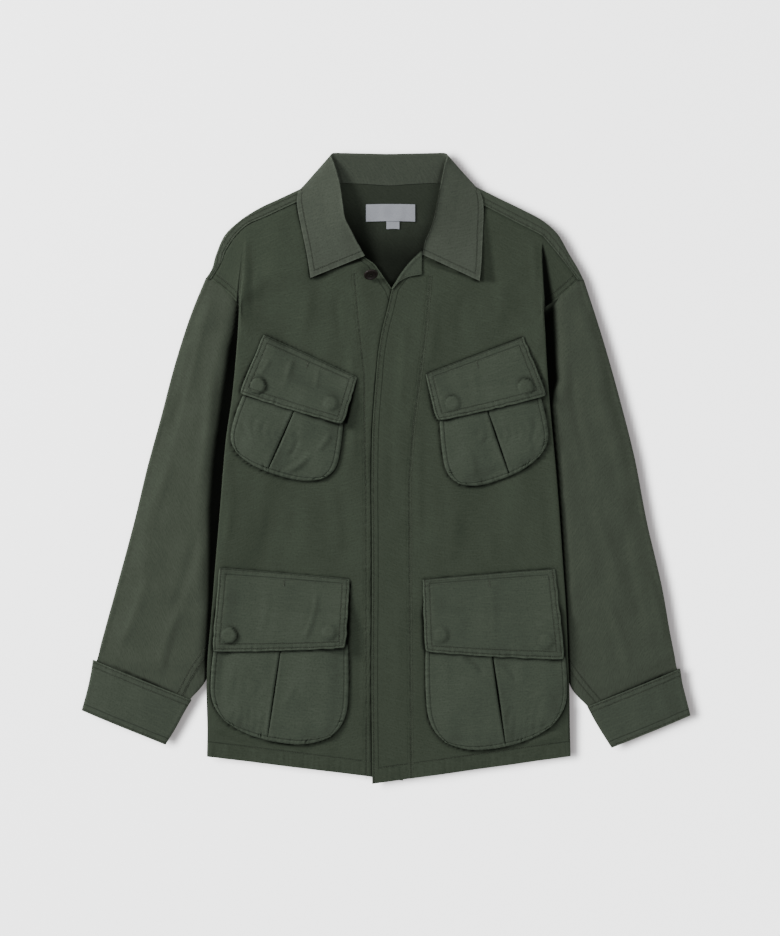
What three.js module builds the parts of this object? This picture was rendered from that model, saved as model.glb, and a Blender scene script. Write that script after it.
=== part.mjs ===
// Jungle fatigue jacket, buttoned and laid out flat on its back.
// Millimetres, +Z up, +Y towards the collar, +X towards the wearer's left sleeve.
// Every cloth piece is a thin wall on a grid of points that follows its sections.
import * as THREE from 'three';

// Rows of a table as objects, from the names of its columns.
const named = (columns, rows) => rows.map((row) => (
  Object.fromEntries(columns.map((name, index) => [name, row[index]]))));

// Cloth and sewing.
const CLOTH = 1.2;
const SLEEVE_CLOTH = 2.0;
const LABEL_CLOTH = 1.0;
const FLAP_CLOTH = 1.5;
const SEAM_GAP = 0.3;
const REST_GAP = 0.35;

// Levels of the cloth's middle surface above the resting plane.
const FLOOR_LEVEL = CLOTH / 2;
const LAYER_RISE = 3.0;
const NECK_LIFT = 2.2;
const NECK_LIFT_START = 300;
const NECK_LIFT_END = 331;

// Sleeves: height of the upper ply where it shows, and its taper under the body.
const SLEEVE_INNER_HEIGHT = 4.4;
const SLEEVE_TAPER = 0.055;
const SLEEVE_OUTER_HEIGHT = 5.6;
const ARMHOLE_GAP = [0.45, -0.35];

// Pockets.
const BAG_WALL = 3.2;
const BAG_CROWN = 1.4;
const PLEAT_DEPTH = 1.3;
const PLEAT_HALF_WIDTH = 0.05;
const FLAP_BUTTON_RADIUS = 8;
const FLAP_BUTTON_THICKNESS = 2.4;
const BUTTON_FLAT = 11.5;
const BUTTON_SLOPE_END = 22;

// Neck button.
const NECK_BUTTON_RADIUS = 8.9;
const NECK_BUTTON_THICKNESS = 3;
const NECK_BUTTON_PLACE = [-19.5, 243.5];
const NECK_BUTTON_TILT = 50;

// Fronts, from the shoulder down. edge: centre front or neck edge; fold: where the cloth turns
// under along the side; seam: armhole seam and then side seam. Heights are of the middle surface:
// at the edge, at the top of the fold, of the return under the fold, beside the seam, at the seam.
const FRONT_RIGHT_ROWS = named(['edge', 'fold', 'seam', 'edgeZ', 'foldZ', 'returnZ', 'nearZ', 'seamZ'], [
  [[-81.5, 352.6], [-178, 308], [-219.5, 240], 6.2, 5.2, 5.2, 5.2, 5.2],
  [[-66, 312.5], [-182, 270.5], [-206.4, 229.4], 5.8, 6.8, 5.6, 5.2, 5.2],
  [[-45.5, 280.5], [-185, 235], [-194.3, 217.2], 5.5, 8.8, 6.6, 5.8, 5.6],
  [[-14.5, 259.5], [-186.5, 206], [-185.2, 203], 5.4, 11.2, 6.9, 6.9, 6.9],
  [[7.5, 228], [-188, 169], [-167.5, 166.5], 5, 12.1, 8.9, 7.4, 6.9],
  [[20.5, 190], [-191, 131], [-145, 127], 4.8, 12.1, 8.9, 7.4, 6.9],
  [[21.5, 105.5], [-196, 84], [-122, 86.5], 4.8, 12.1, 8.9, 7.4, 6.6],
  [[21.5, 48.5], [-202.5, 39.5], [-107, 56], 4.8, 12.1, 8.9, 6.6, 5.2],
  [[21.5, -15], [-206.5, -2.5], [-122, 10], 4.8, 12.1, 8.9, 6, 2.1],
  [[21.5, -91.5], [-211, -59.5], [-141, -53.5], 4.8, 11.9, 8.7, 6, 2.1],
  [[21.5, -167.5], [-216.5, -123], [-165, -123], 4.8, 11, 7.8, 6, 2.1],
  [[21.5, -244], [-221.5, -186.5], [-186.5, -189], 4.8, 10.2, 7, 5.9, 2.1],
  [[21.5, -294.5], [-226.5, -244], [-208.5, -246.5], 4.8, 9.4, 6.2, 5.4, 2.1],
  [[21.5, -340], [-228, -288.5], [-221, -289.5], 4.8, 5.3, 2.1, 2.1, 2.1],
  [[21.5, -368], [-227, -332.5], [-221, -332.5], 4.8, 5.3, 2.1, 2.1, 2.1],
  [[21.5, -397.5], [-227.5, -367], [-221.5, -367.5], 4.8, 5.3, 2.1, 2.1, 2.1],
]);
const FRONT_LEFT_ROWS = named(['edge', 'fold', 'seam', 'edgeZ', 'foldZ', 'returnZ', 'nearZ', 'seamZ'], [
  [[87.5, 352.6], [196.5, 296], [241, 238.3], 6.2, 5.2, 5.2, 5.2, 5.2],
  [[76, 312.5], [197, 261.5], [229, 226], 6, 7, 5.6, 5.2, 5.2],
  [[58.5, 282], [198.5, 232], [215.5, 213.5], 6.2, 9.2, 6.6, 5.8, 5.6],
  [[33, 261.5], [200.5, 204], [199.5, 201.5], 6.8, 11.4, 6.9, 6.9, 6.9],
  [[7.5, 228], [202, 169], [178, 166.5], 7, 12.1, 8.9, 7.4, 6.9],
  [[-8.5, 156], [204, 131], [153.5, 127], 6.9, 12.1, 8.9, 7.4, 6.9],
  [[-13.5, 105.5], [207.5, 84], [131, 86.5], 6.9, 12.1, 8.9, 7.4, 6.6],
  [[-17.5, 48.5], [211.5, 39.5], [115, 56], 6.9, 12.1, 8.9, 6.6, 5.2],
  [[-18.5, -15], [215.5, -2.5], [128.5, 10], 6.9, 12.1, 8.9, 6, 2.1],
  [[-18, -91.5], [220, -59.5], [147.5, -53.5], 6.9, 11.9, 8.7, 6, 2.1],
  [[-18, -167.5], [224.5, -123], [171.5, -123], 6.9, 11, 7.8, 6, 2.1],
  [[-18.5, -244], [228.5, -180.5], [193, -183], 6.9, 10.2, 7, 5.9, 2.1],
  [[-18.5, -294.5], [231, -241.5], [213, -244], 6.9, 9.4, 6.2, 5.4, 2.1],
  [[-18, -345.5], [233, -284.5], [226, -287], 6.9, 5.3, 2.1, 2.1, 2.1],
  [[-17.7, -373], [233.5, -326.5], [227.5, -326.5], 6.9, 5.3, 2.1, 2.1, 2.1],
  [[-17.5, -401.5], [234.5, -366.5], [228.5, -367], 6.9, 5.3, 2.1, 2.1, 2.1],
]);
const FIRST_TUCKED_ROW = 3;
const FIRST_BACK_ROW = 4;
const BACK_HEM_SAG = 17;
const RAMP = 25;
const NEAR_SEAM = 8;

// Armhole tips, where the shoulder fold meets the sleeve.
const ARMHOLE_TIP_RIGHT = [-230.5, 239.3];
const ARMHOLE_TIP_LEFT = [252.5, 237];

// Sleeves, from the armhole to the cuff: outer and inner edge, height, share of the armhole's curve.
const SLEEVE_RIGHT_ROWS = named(['outer', 'inner', 'height', 'curve'], [
  [[-230.5, 239.3], [-107, 56], 5.8, 1],
  [[-247, 199], [-128, 23], 7.2, 0.4],
  [[-267, 138], [-144, -21.5], 7.8, 0.1],
  [[-287.5, 61], [-162, -72.5], 7.8, 0],
  [[-303.5, 2.5], [-177, -119.5], 7.8, 0],
  [[-320, -66], [-195, -171.5], 7.8, 0],
  [[-344, -155], [-219, -233.5], 7.8, 0],
  [[-358, -205.5], [-234, -271], 7.6, 0],
  [[-368.3, -243.3], [-248.5, -294], 7.2, 0],
]);
const SLEEVE_LEFT_ROWS = named(['outer', 'inner', 'height', 'curve'], [
  [[252.5, 237], [115, 56], 5.8, 1],
  [[269, 186.5], [135, 23], 7.2, 0.4],
  [[282, 143.5], [151, -21.5], 7.8, 0.1],
  [[302.5, 69], [169, -72.5], 7.8, 0],
  [[316.5, 12.5], [184, -119.5], 7.8, 0],
  [[331.5, -66], [202, -171.5], 7.8, 0],
  [[352, -155], [226, -233.5], 7.8, 0],
  [[362, -212], [241, -279.5], 7.6, 0],
  [[370.8, -256], [256, -303], 7.2, 0],
]);
const CUFF_RIGHT_ROWS = named(['outer', 'inner', 'height', 'curve'], [
  [[-373.3, -243.8], [-247.5, -295.2], 7.8, 0],
  [[-375.5, -259], [-255.5, -308.5], 7.8, 0],
  [[-381, -284.5], [-268, -331.5], 7.8, 0],
  [[-387.5, -308], [-280.5, -352], 7.6, 0],
]);
const CUFF_LEFT_ROWS = named(['outer', 'inner', 'height', 'curve'], [
  [[374.5, -255.1], [256, -303.5], 7.8, 0],
  [[377, -272], [263, -317], 7.8, 0],
  [[382.5, -294.5], [274.5, -336.5], 7.8, 0],
  [[387.5, -314.5], [287, -356], 7.6, 0],
]);

// Yoke, from the armhole to the middle of the neck: where its column starts on the back seam, the
// shoulder fold or neck edge, and the seam it ends on in front. wrap is false along the neck.
const YOKE_RIGHT_COLUMNS = named(['back', 'fold', 'front', 'topZ', 'wrap'], [
  [[-172, 175.5], [-229.6, 240.6], [-222.5, 240.6], 5.2, true],
  [[-160, 175.5], [-224, 248.5], [-213, 256], 5.2, true],
  [[-146, 175.5], [-216, 272], [-204.5, 276], 5.2, true],
  [[-130, 175.5], [-204.5, 297], [-191, 296], 5.2, true],
  [[-116, 175.5], [-189, 312], [-178, 308.4], 5.2, true],
  [[-104, 175.5], [-162.5, 329.5], [-154, 319.5], 5.3, true],
  [[-90, 175.5], [-136, 342], [-130, 330.6], 5.6, true],
  [[-74, 175.5], [-111.5, 353.5], [-106, 341.7], 5.9, true],
  [[-62, 175.5], [-86, 365], [-82, 352.9], 6.2, true],
  [[-54, 175.5], [-71.5, 361.6], [-71, 361.8], 2.1, false],
  [[-40, 175.5], [-50, 362], [-50, 362.1], 2.1, false],
  [[-18, 175.5], [-22, 360.5], [-22, 360.6], 2.1, false],
]);
const YOKE_LEFT_COLUMNS = named(['back', 'fold', 'front', 'topZ', 'wrap'], [
  [[183, 175.5], [251.6, 238.4], [244.2, 238.9], 5.2, true],
  [[171, 175.5], [246.5, 249], [233.5, 253.5], 5.2, true],
  [[157, 175.5], [233, 272], [220, 270.5], 5.2, true],
  [[141, 175.5], [217, 299], [203.5, 290], 5.2, true],
  [[127, 175.5], [200, 314], [196.6, 296.6], 5.2, true],
  [[114, 175.5], [176, 327], [169, 310.8], 5.3, true],
  [[98, 175.5], [146, 341.5], [142, 324.8], 5.6, true],
  [[80, 175.5], [118.5, 355], [114, 339.3], 5.9, true],
  [[68, 175.5], [92, 366.5], [88, 352.9], 6.2, true],
  [[60, 175.5], [79, 361.6], [78.5, 361.8], 2.1, false],
  [[47, 175.5], [58, 362], [58, 362.1], 2.1, false],
  [[25, 175.5], [30, 360.5], [30, 360.6], 2.1, false],
]);
const YOKE_MIDDLE_COLUMN = { back: [4, 175.5], fold: [4, 359], front: [4, 359.1], topZ: 2.1, wrap: false };

// Collar sections, from the front end of each leaf to the middle of the back: seam at the neck,
// roll line, outer edge, and the least height of the fall between roll line and edge.
const COLLAR_RIGHT_ROWS = named(['seam', 'roll', 'edge', 'fallZ'], [
  [[-30, 271.9, 5.6], [-27, 269.5, 9.4], [-96, 241.5, 8.3], 8.4],
  [[-44.6, 281.5, 5.6], [-36, 285.5, 12.5], [-98.5, 258, 8.3], 8.4],
  [[-54.6, 297.2, 5.7], [-43.5, 300.5, 15.5], [-102, 278, 8.3], 8.6],
  [[-64.8, 313.2, 5.9], [-51.5, 316.5, 17.5], [-107, 302, 7.8], 8.8],
  [[-72.4, 333, 6.1], [-54.5, 337, 18], [-111.5, 324, 8], 9],
  [[-80.2, 353.4, 6.2], [-58, 360, 16.5], [-114, 341, 8.2], 9],
  [[-78.2, 358.8, 5.8], [-61.5, 374, 14], [-114, 350.5, 8], 8.2],
  [[-75.6, 361.3, 4.9], [-66.5, 390, 11.5], [-115.4, 354.6, 6.8], 6.6],
  [[-73.3, 362.4, 3.9], [-70.2, 399, 8.5], [-115.9, 356.2, 4.2], 4.2],
  [[-71, 362.6, 2.8], [-67.5, 400.5, 7], [-114.2, 354.4, 1.7], 1.5],
  [[-62, 362.7, 2.8], [-57, 400.6, 6.5], [-104, 347, 0.6], 0.6],
  [[-45, 362.3, 2.8], [-42, 400.4, 6.2], [-70, 339.5, 0.6], 0.6],
  [[-20, 361, 2.8], [-20, 400, 6], [-30, 336.5, 0.6], 0.6],
  [[4, 359.5, 2.8], [4, 399.5, 6], [4, 335.5, 0.6], 0.6],
]);
const COLLAR_LEFT_ROWS = named(['seam', 'roll', 'edge', 'fallZ'], [
  [[48, 274.6, 6.9], [46.5, 271, 10.4], [119, 237.5, 9.6], 9.6],
  [[57.6, 283, 6.5], [49.5, 287, 13], [121, 257, 9.2], 9.4],
  [[66.4, 297.6, 6.3], [55.5, 301, 15.5], [122, 278, 8.8], 9.2],
  [[74.8, 313.2, 6.1], [60.5, 316.5, 17.5], [123, 302, 8], 9],
  [[80.4, 333, 6.1], [65, 338, 18], [124, 324, 8.2], 9],
  [[86.2, 353.4, 6.2], [69, 360, 16.5], [123.5, 342, 8.2], 9],
  [[84.7, 358.8, 5.8], [72, 374, 14], [121.5, 352, 8], 8.2],
  [[82.6, 361.3, 4.9], [75.5, 390, 11.5], [122.6, 356.2, 6.8], 6.6],
  [[80.8, 362.4, 3.9], [78, 399, 8.5], [123, 357.6, 4.2], 4.2],
  [[78.5, 362.6, 2.8], [75, 400.5, 7], [121.4, 356, 1.7], 1.5],
  [[69.5, 362.7, 2.8], [65, 400.6, 6.5], [111, 347, 0.6], 0.6],
  [[52, 362.3, 2.8], [50, 400.4, 6.2], [77, 339.5, 0.6], 0.6],
  [[28, 361, 2.8], [28, 400, 6], [38, 336.5, 0.6], 0.6],
]);

// Pockets: corners of bag and flap, top row first, the pleat's place across the bag, the buttons.
const POCKETS = [
  {
    name: 'chest', side: 'right',
    flap: [[-155, 169], [-37, 115], [-54.5, 56], [-185.5, 95]],
    bag: [[-178, 120], [-47, 80], [-70, -26], [-205, 20]],
    pleat: 0.5, buttons: [[-162.5, 104], [-70, 80.5]],
  },
  {
    name: 'chest', side: 'left',
    flap: [[50.5, 119], [174, 166], [203, 91.5], [64.5, 60]],
    bag: [[60, 88], [196, 116], [211, 18], [80, -34]],
    pleat: 0.5, buttons: [[84.5, 81.5], [176.5, 102.5]],
  },
  {
    name: 'hip', side: 'right',
    flap: [[-211, -127], [-46.5, -141.5], [-51.5, -227.5], [-220, -232.5]],
    bag: [[-211, -182], [-49.5, -188], [-53, -358], [-221, -330]],
    pleat: 0.47, buttons: [[-199, -212], [-72.5, -207.5]],
  },
  {
    name: 'hip', side: 'left',
    flap: [[47, -142], [214, -128], [226, -242.5], [50, -232.5]],
    bag: [[51, -186.5], [220, -184], [228, -336], [57, -364]],
    pleat: 0.5, buttons: [[69.5, -212.5], [203, -220]],
  },
];
const BAG_STEPS = [10, 8];
const FLAP_STEPS = [13, 8];
const FLAP_RISE_SHARE = 0.3;
const BAG_CORNER = 0.16;

const LABEL = { left: -25.5, right: 37, top: 335.3, bottom: 313.6 };
const SIZE_TAG = { left: 0.5, right: 17, top: 313.2, bottom: 304 };

// Colours, as seen on each piece.
const COLOURS = {
  cloth: 0x40463c, collar: 0x4c5248, flap: 0x434a40, cuff: 0x424840,
  label: 0xc3c5c8, button: 0x17110f,
};

const clamp = (value, low, high) => Math.min(high, Math.max(low, value));
const mix = (a, b, share) => a + (b - a) * share;
const mixPoint = (a, b, share) => a.map((value, axis) => mix(value, b[axis], share));
const distance = (a, b) => Math.hypot(b[0] - a[0], b[1] - a[1]);
const ease = (value) => {
  const share = clamp(value, 0, 1);
  return share * share * (3 - 2 * share);
};
const at = (place, z) => new THREE.Vector3(place[0], place[1], z);

// Direction that a grid's surface faces at one of its points.
function gridNormal(grid, row, column, closed) {
  const last = grid[0].length - 1;
  const before = closed ? (column + last) % (last + 1) : Math.max(column - 1, 0);
  const after = closed ? (column + 1) % (last + 1) : Math.min(column + 1, last);
  const across = grid[row][after].clone().sub(grid[row][before]);
  const above = grid[Math.max(row - 1, 0)][column];
  const below = grid[Math.min(row + 1, grid.length - 1)][column];
  return across.cross(below.clone().sub(above)).normalize();
}

// Closed body from two layers of grid points and the strips that join their edges.
function layeredGeometry(outer, inner, closed) {
  const rows = outer.length;
  const columns = outer[0].length;
  const points = [...outer.flat(), ...inner.flat()];
  const index = (layer, row, column) => (layer * rows + row) * columns + (column % columns);
  const faces = [];
  const quad = (a, b, c, d) => faces.push([a, b, c], [a, c, d]);
  const spans = closed ? columns : columns - 1;
  for (let row = 0; row < rows - 1; row += 1) {
    for (let column = 0; column < spans; column += 1) {
      const corners = (layer) => [
        index(layer, row, column), index(layer, row, column + 1),
        index(layer, row + 1, column + 1), index(layer, row + 1, column),
      ];
      quad(...corners(0));
      quad(...corners(1).reverse());
    }
    if (!closed) {
      quad(index(0, row, 0), index(0, row + 1, 0), index(1, row + 1, 0), index(1, row, 0));
      const end = columns - 1;
      quad(index(0, row + 1, end), index(0, row, end), index(1, row, end), index(1, row + 1, end));
    }
  }
  for (let column = 0; column < spans; column += 1) {
    quad(index(0, 0, column + 1), index(0, 0, column), index(1, 0, column), index(1, 0, column + 1));
    const end = rows - 1;
    const [near, far] = [column, column + 1];
    quad(index(0, end, near), index(0, end, far), index(1, end, far), index(1, end, near));
  }
  const volume = faces.reduce((sum, [a, b, c]) => (
    sum + points[a].dot(points[b].clone().cross(points[c])) / 6), 0);
  const turned = volume < 0 ? faces.map(([a, b, c]) => [a, c, b]) : faces;
  const geometry = new THREE.BufferGeometry();
  const positions = points.flatMap((point) => point.toArray());
  geometry.setAttribute('position', new THREE.Float32BufferAttribute(positions, 3));
  geometry.setIndex(turned.flat());
  geometry.computeVertexNormals();
  return geometry;
}

// Wall of one thickness about a grid that is its middle surface.
function wallGeometry(grid, thickness, closed = false) {
  const layer = (sign) => grid.map((row, i) => row.map((point, j) => (
    point.clone().addScaledVector(gridNormal(grid, i, j, closed), (sign * thickness) / 2))));
  return layeredGeometry(layer(1), layer(-1), closed);
}

// A front's section, from its edge out to the fold, round it and back to the seam.
function frontSection(row, isTucked) {
  const span = distance(row.fold, row.edge);
  const inwards = (length) => mixPoint(row.fold, row.edge, length / span);
  const points = [];
  if (!isTucked) {
    for (const share of [0, 0.18, 0.36, 0.54, 0.7, 0.82, 0.92, 1]) {
      points.push(at(mixPoint(row.edge, row.fold, share), mix(row.edgeZ, row.foldZ, share)));
    }
    for (const [share, drop] of [[0.1, 0.05], [0.22, 0.25], [0.36, 0.55], [0.5, 0.85], [0.65, 1]]) {
      points.push(at(mixPoint(row.fold, row.seam, share), mix(row.foldZ, row.returnZ, drop)));
    }
    points.push(at(mixPoint(row.fold, row.seam, 0.82), row.nearZ), at(row.seam, row.seamZ));
    return points;
  }
  const depth = distance(row.fold, row.seam);
  const radius = (row.foldZ - row.returnZ) / 2;
  const ramp = Math.min(depth + RAMP, span * 0.8);
  const seamTopZ = row.seamZ + LAYER_RISE;
  const baseZ = Math.min(row.edgeZ + 0.3, seamTopZ);
  for (const share of [0, 0.25, 0.5, 0.75, 1]) {
    points.push(at(mixPoint(row.edge, inwards(ramp), share), mix(row.edgeZ, baseZ, share)));
  }
  const shoulder = Math.max(depth, radius * 1.6);
  points.push(at(inwards(shoulder), seamTopZ));
  const halfway = (shoulder + radius) / 2;
  points.push(at(inwards(halfway), mix(seamTopZ, row.foldZ, 0.56)));
  const middleZ = row.returnZ + radius;
  for (const angle of [90, 45, 0, -45, -90]) {
    const turn = THREE.MathUtils.degToRad(angle);
    const reach = Math.min(radius, depth * 0.8) * (1 - Math.cos(turn));
    points.push(at(inwards(reach), middleZ + radius * Math.sin(turn)));
  }
  const start = points[points.length - 1];
  const near = Math.min(NEAR_SEAM, depth * 0.4) / depth;
  const nearPlace = mixPoint(row.seam, row.fold, near);
  points.push(at(mixPoint([start.x, start.y], nearPlace, 0.5), mix(row.returnZ, row.nearZ, 0.5)));
  points.push(at(nearPlace, row.nearZ), at(row.seam, row.seamZ));
  return points;
}

const frontGrid = (rows) => rows.map((row, index) => frontSection(row, index >= FIRST_TUCKED_ROW));
const FRONT_GRIDS = { right: frontGrid(FRONT_RIGHT_ROWS), left: frontGrid(FRONT_LEFT_ROWS) };
const FRONT_TOP_COLUMNS = 8;

// Upper face of a grid's wall: its points moved out by half the cloth on the side that looks up.
function upperFace(grid, columns) {
  return grid.map((row, i) => row.slice(0, columns).map((point, j) => {
    const normal = gridNormal(grid, i, j, false);
    return point.clone().addScaledVector(normal, (Math.sign(normal.z) * CLOTH) / 2);
  }));
}
const FRONT_FACES = {
  right: upperFace(FRONT_GRIDS.right, FRONT_TOP_COLUMNS),
  left: upperFace(FRONT_GRIDS.left, FRONT_TOP_COLUMNS),
};

// Height of a triangle over a place inside its outline, or null where the place lies outside.
function triangleHeight([a, b, c], x, y) {
  const area = (b.x - a.x) * (c.y - a.y) - (c.x - a.x) * (b.y - a.y);
  const atB = ((x - a.x) * (c.y - a.y) - (c.x - a.x) * (y - a.y)) / area;
  const atC = ((b.x - a.x) * (y - a.y) - (x - a.x) * (b.y - a.y)) / area;
  const slack = -1e-6;
  if (atB < slack || atC < slack || atB + atC > 1 - slack) return null;
  return a.z + atB * (b.z - a.z) + atC * (c.z - a.z);
}

// Height of a front's upper face at a place.
function frontTop(side, x, y) {
  const face = FRONT_FACES[side];
  for (let i = 0; i < face.length - 1; i += 1) {
    for (let j = 0; j < FRONT_TOP_COLUMNS - 1; j += 1) {
      const [a, b, c, d] = [face[i][j], face[i][j + 1], face[i + 1][j + 1], face[i + 1][j]];
      const height = triangleHeight([a, b, c], x, y) ?? triangleHeight([a, c, d], x, y);
      if (height !== null) return height;
    }
  }
  throw new Error(`no ${side} front at ${x}, ${y}`);
}

// Back body panel: between the armholes and side seams, from the yoke seam to the hem.
function backGrid() {
  const steps = [0, 0.2, 0.4, 0.6, 0.8, 1];
  const side = (yokeColumns, frontRows) => {
    const [x, y] = yokeColumns[0].back;
    return [[x, y - SEAM_GAP], ...frontRows.slice(FIRST_BACK_ROW).map((row) => row.seam)];
  };
  const right = side(YOKE_RIGHT_COLUMNS, FRONT_RIGHT_ROWS);
  const left = side(YOKE_LEFT_COLUMNS, FRONT_LEFT_ROWS);
  return right.map((start, row) => steps.map((share) => {
    const place = mixPoint(start, left[row], share);
    const hemSag = row === right.length - 1 ? BACK_HEM_SAG * 4 * share * (1 - share) : 0;
    return at([place[0], place[1] - hemSag], FLOOR_LEVEL);
  }));
}

// Middle surface of the yoke's lower ply, raised at the neck over the collar's fall.
function yokeLevel(y) {
  const share = (y - NECK_LIFT_START) / (NECK_LIFT_END - NECK_LIFT_START);
  return FLOOR_LEVEL + NECK_LIFT * clamp(share, 0, 1);
}

// Shares along a yoke column, with points where its level starts and ends its rise.
function yokeShares(column, turnStart) {
  if (turnStart[1] < NECK_LIFT_END + 10) return [0, 0.25, 0.5, 0.7, 0.84, 0.94];
  const shareAt = (y) => (y - column.back[1]) / (turnStart[1] - column.back[1]);
  const [start, end] = [shareAt(NECK_LIFT_START), shareAt(NECK_LIFT_END)];
  return [0, start / 2, start, (start + end) / 2, end, (1 + end) / 2];
}

// Yoke column: along the resting plane, round the shoulder fold and on to the front yoke seam.
// Its path near an armhole is moved by the armhole's own curve.
function yokeColumn(column, target, bulges) {
  const foldLow = yokeLevel(column.fold[1]);
  const radius = column.wrap ? (column.topZ - foldLow) / 2 : 0;
  const turnShare = column.wrap ? radius / distance(column.fold, target) : 0.02;
  const turnStart = mixPoint(column.fold, target, turnShare);
  const points = yokeShares(column, turnStart).map((share, index) => {
    const place = mixPoint(column.back, turnStart, share);
    const moved = [place[0] + bulges[index][0], place[1] + bulges[index][1]];
    return at(moved, yokeLevel(moved[1]));
  });
  if (!column.wrap) {
    for (const share of [0.2, 0.4, 0.6, 0.8, 1]) {
      points.push(at(mixPoint(turnStart, column.fold, share), foldLow));
    }
    return points;
  }
  points.push(at(turnStart, foldLow));
  for (const angle of [-35, 25]) {
    const turn = THREE.MathUtils.degToRad(angle);
    const place = mixPoint(column.fold, turnStart, 1 - Math.cos(turn));
    points.push(at(place, foldLow + radius * (1 + Math.sin(turn))));
  }
  const topStart = Math.min(0.5, radius / distance(column.fold, column.front));
  points.push(at(mixPoint(column.fold, column.front, topStart), column.topZ));
  points.push(at(column.front, column.topZ));
  return points;
}

const ARMHOLE_REACH = [1, 0.8, 0.55, 0.3, 0.12];

function yokeHalf(columns, frontRows) {
  const first = columns[0];
  const corner = [frontRows[0].seam[0], first.fold[1]];
  const path = [
    first.back, mixPoint(first.back, frontRows[3].seam, 0.6), frontRows[3].seam, frontRows[2].seam,
    frontRows[1].seam, corner,
  ];
  const straight = yokeColumn(first, corner, path.map(() => [0, 0]));
  const bulges = path.map((place, index) => [place[0] - straight[index].x, place[1] - straight[index].y]);
  return columns.map((column, index) => {
    const reach = ARMHOLE_REACH[index] ?? 0;
    const target = index === 0 ? corner : column.back;
    return yokeColumn(column, target, bulges.map(([x, y]) => [x * reach, y * reach]));
  });
}

function yokeGrid() {
  const right = yokeHalf(YOKE_RIGHT_COLUMNS, FRONT_RIGHT_ROWS);
  const left = yokeHalf(YOKE_LEFT_COLUMNS, FRONT_LEFT_ROWS);
  const still = Array.from({ length: 6 }, () => [0, 0]);
  const middle = yokeColumn(YOKE_MIDDLE_COLUMN, YOKE_MIDDLE_COLUMN.back, still);
  return [...right, middle, ...left.reverse()];
}

// Flattened tube: each ring runs along the upper ply from outer to inner edge and back below.
function tubeGrid(rows, armhole) {
  const lengths = armhole.map((place, index) => (index === 0 ? 0 : distance(armhole[index - 1], place)));
  const total = lengths.reduce((sum, length) => sum + length, 0);
  let run = 0;
  const shares = lengths.map((length) => {
    run += length;
    return run / total;
  });
  const bulges = armhole.map((place, index) => {
    const straight = mixPoint(armhole[0], armhole[armhole.length - 1], shares[index]);
    return [place[0] - straight[0], place[1] - straight[1]];
  });
  const lowZ = SLEEVE_CLOTH / 2;
  return rows.map((row) => {
    const width = distance(row.outer, row.inner);
    const margin = (SLEEVE_CLOTH * 0.5) / width;
    const place = (index) => {
      const share = clamp(shares[index], margin, 1 - margin);
      const straight = mixPoint(row.outer, row.inner, share);
      const outward = Math.sign(row.outer[0] - row.inner[0]);
      const [gapX, gapY] = row.curve === 1 ? [outward * ARMHOLE_GAP[0], ARMHOLE_GAP[1]] : [0, 0];
      return [
        straight[0] + bulges[index][0] * row.curve + gapX,
        straight[1] + bulges[index][1] * row.curve + gapY,
      ];
    };
    const topHeight = (index) => {
      const fromInner = (1 - shares[index]) * width;
      const fromOuter = shares[index] * width;
      const inner = SLEEVE_INNER_HEIGHT + SLEEVE_TAPER * fromInner;
      const outer = SLEEVE_OUTER_HEIGHT + 0.1 * Math.max(0, fromOuter - 8);
      return Math.min(row.height, inner, outer) - SLEEVE_CLOTH / 2;
    };
    const last = armhole.length - 1;
    const upper = [];
    const lower = [];
    for (let index = 1; index < last; index += 1) {
      upper.push(at(place(index), topHeight(index)));
      lower.unshift(at(place(index), lowZ));
    }
    const outerZ = (topHeight(1) + lowZ) / 2;
    const innerZ = (SLEEVE_INNER_HEIGHT - SLEEVE_CLOTH / 2 + lowZ) / 2;
    return [at(place(0), outerZ), ...upper, at(place(last), innerZ), ...lower];
  });
}

const armholeCurve = (tip, rows) => {
  const seams = rows.slice(0, 8).map((row) => row.seam);
  return [tip, ...seams.slice(0, 7), mixPoint(seams[6], seams[7], 0.8), seams[7]];
};

// Collar section: up the stand from the neck seam, over the roll line and down the fall.
function collarSection(row) {
  const [seam, roll, edge] = [row.seam, row.roll, row.edge];
  const fallSpan = distance(roll, edge);
  const turnReach = 1.6;
  const outward = mixPoint(roll, edge, turnReach / fallSpan);
  const standTop = mixPoint(seam, roll, 0.86);
  const fallStart = [outward[0], outward[1], Math.max(row.fallZ, roll[2] - 3.4)];
  const points = [seam, mixPoint(seam, roll, 0.3), mixPoint(seam, roll, 0.6), standTop, roll, fallStart];
  for (const [share, hold] of [[0.2, 0.6], [0.4, 0.15], [0.7, 0], [1, 0]]) {
    const place = mixPoint(fallStart, edge, share);
    const lowZ = share === 1 ? edge[2] : row.fallZ;
    points.push([place[0], place[1], mix(lowZ, fallStart[2], hold)]);
  }
  return points.map((point) => new THREE.Vector3(...point));
}

const quadPlace = (corners, across, down) => (
  mixPoint(mixPoint(corners[0], corners[1], across), mixPoint(corners[3], corners[2], across), down));

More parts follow.
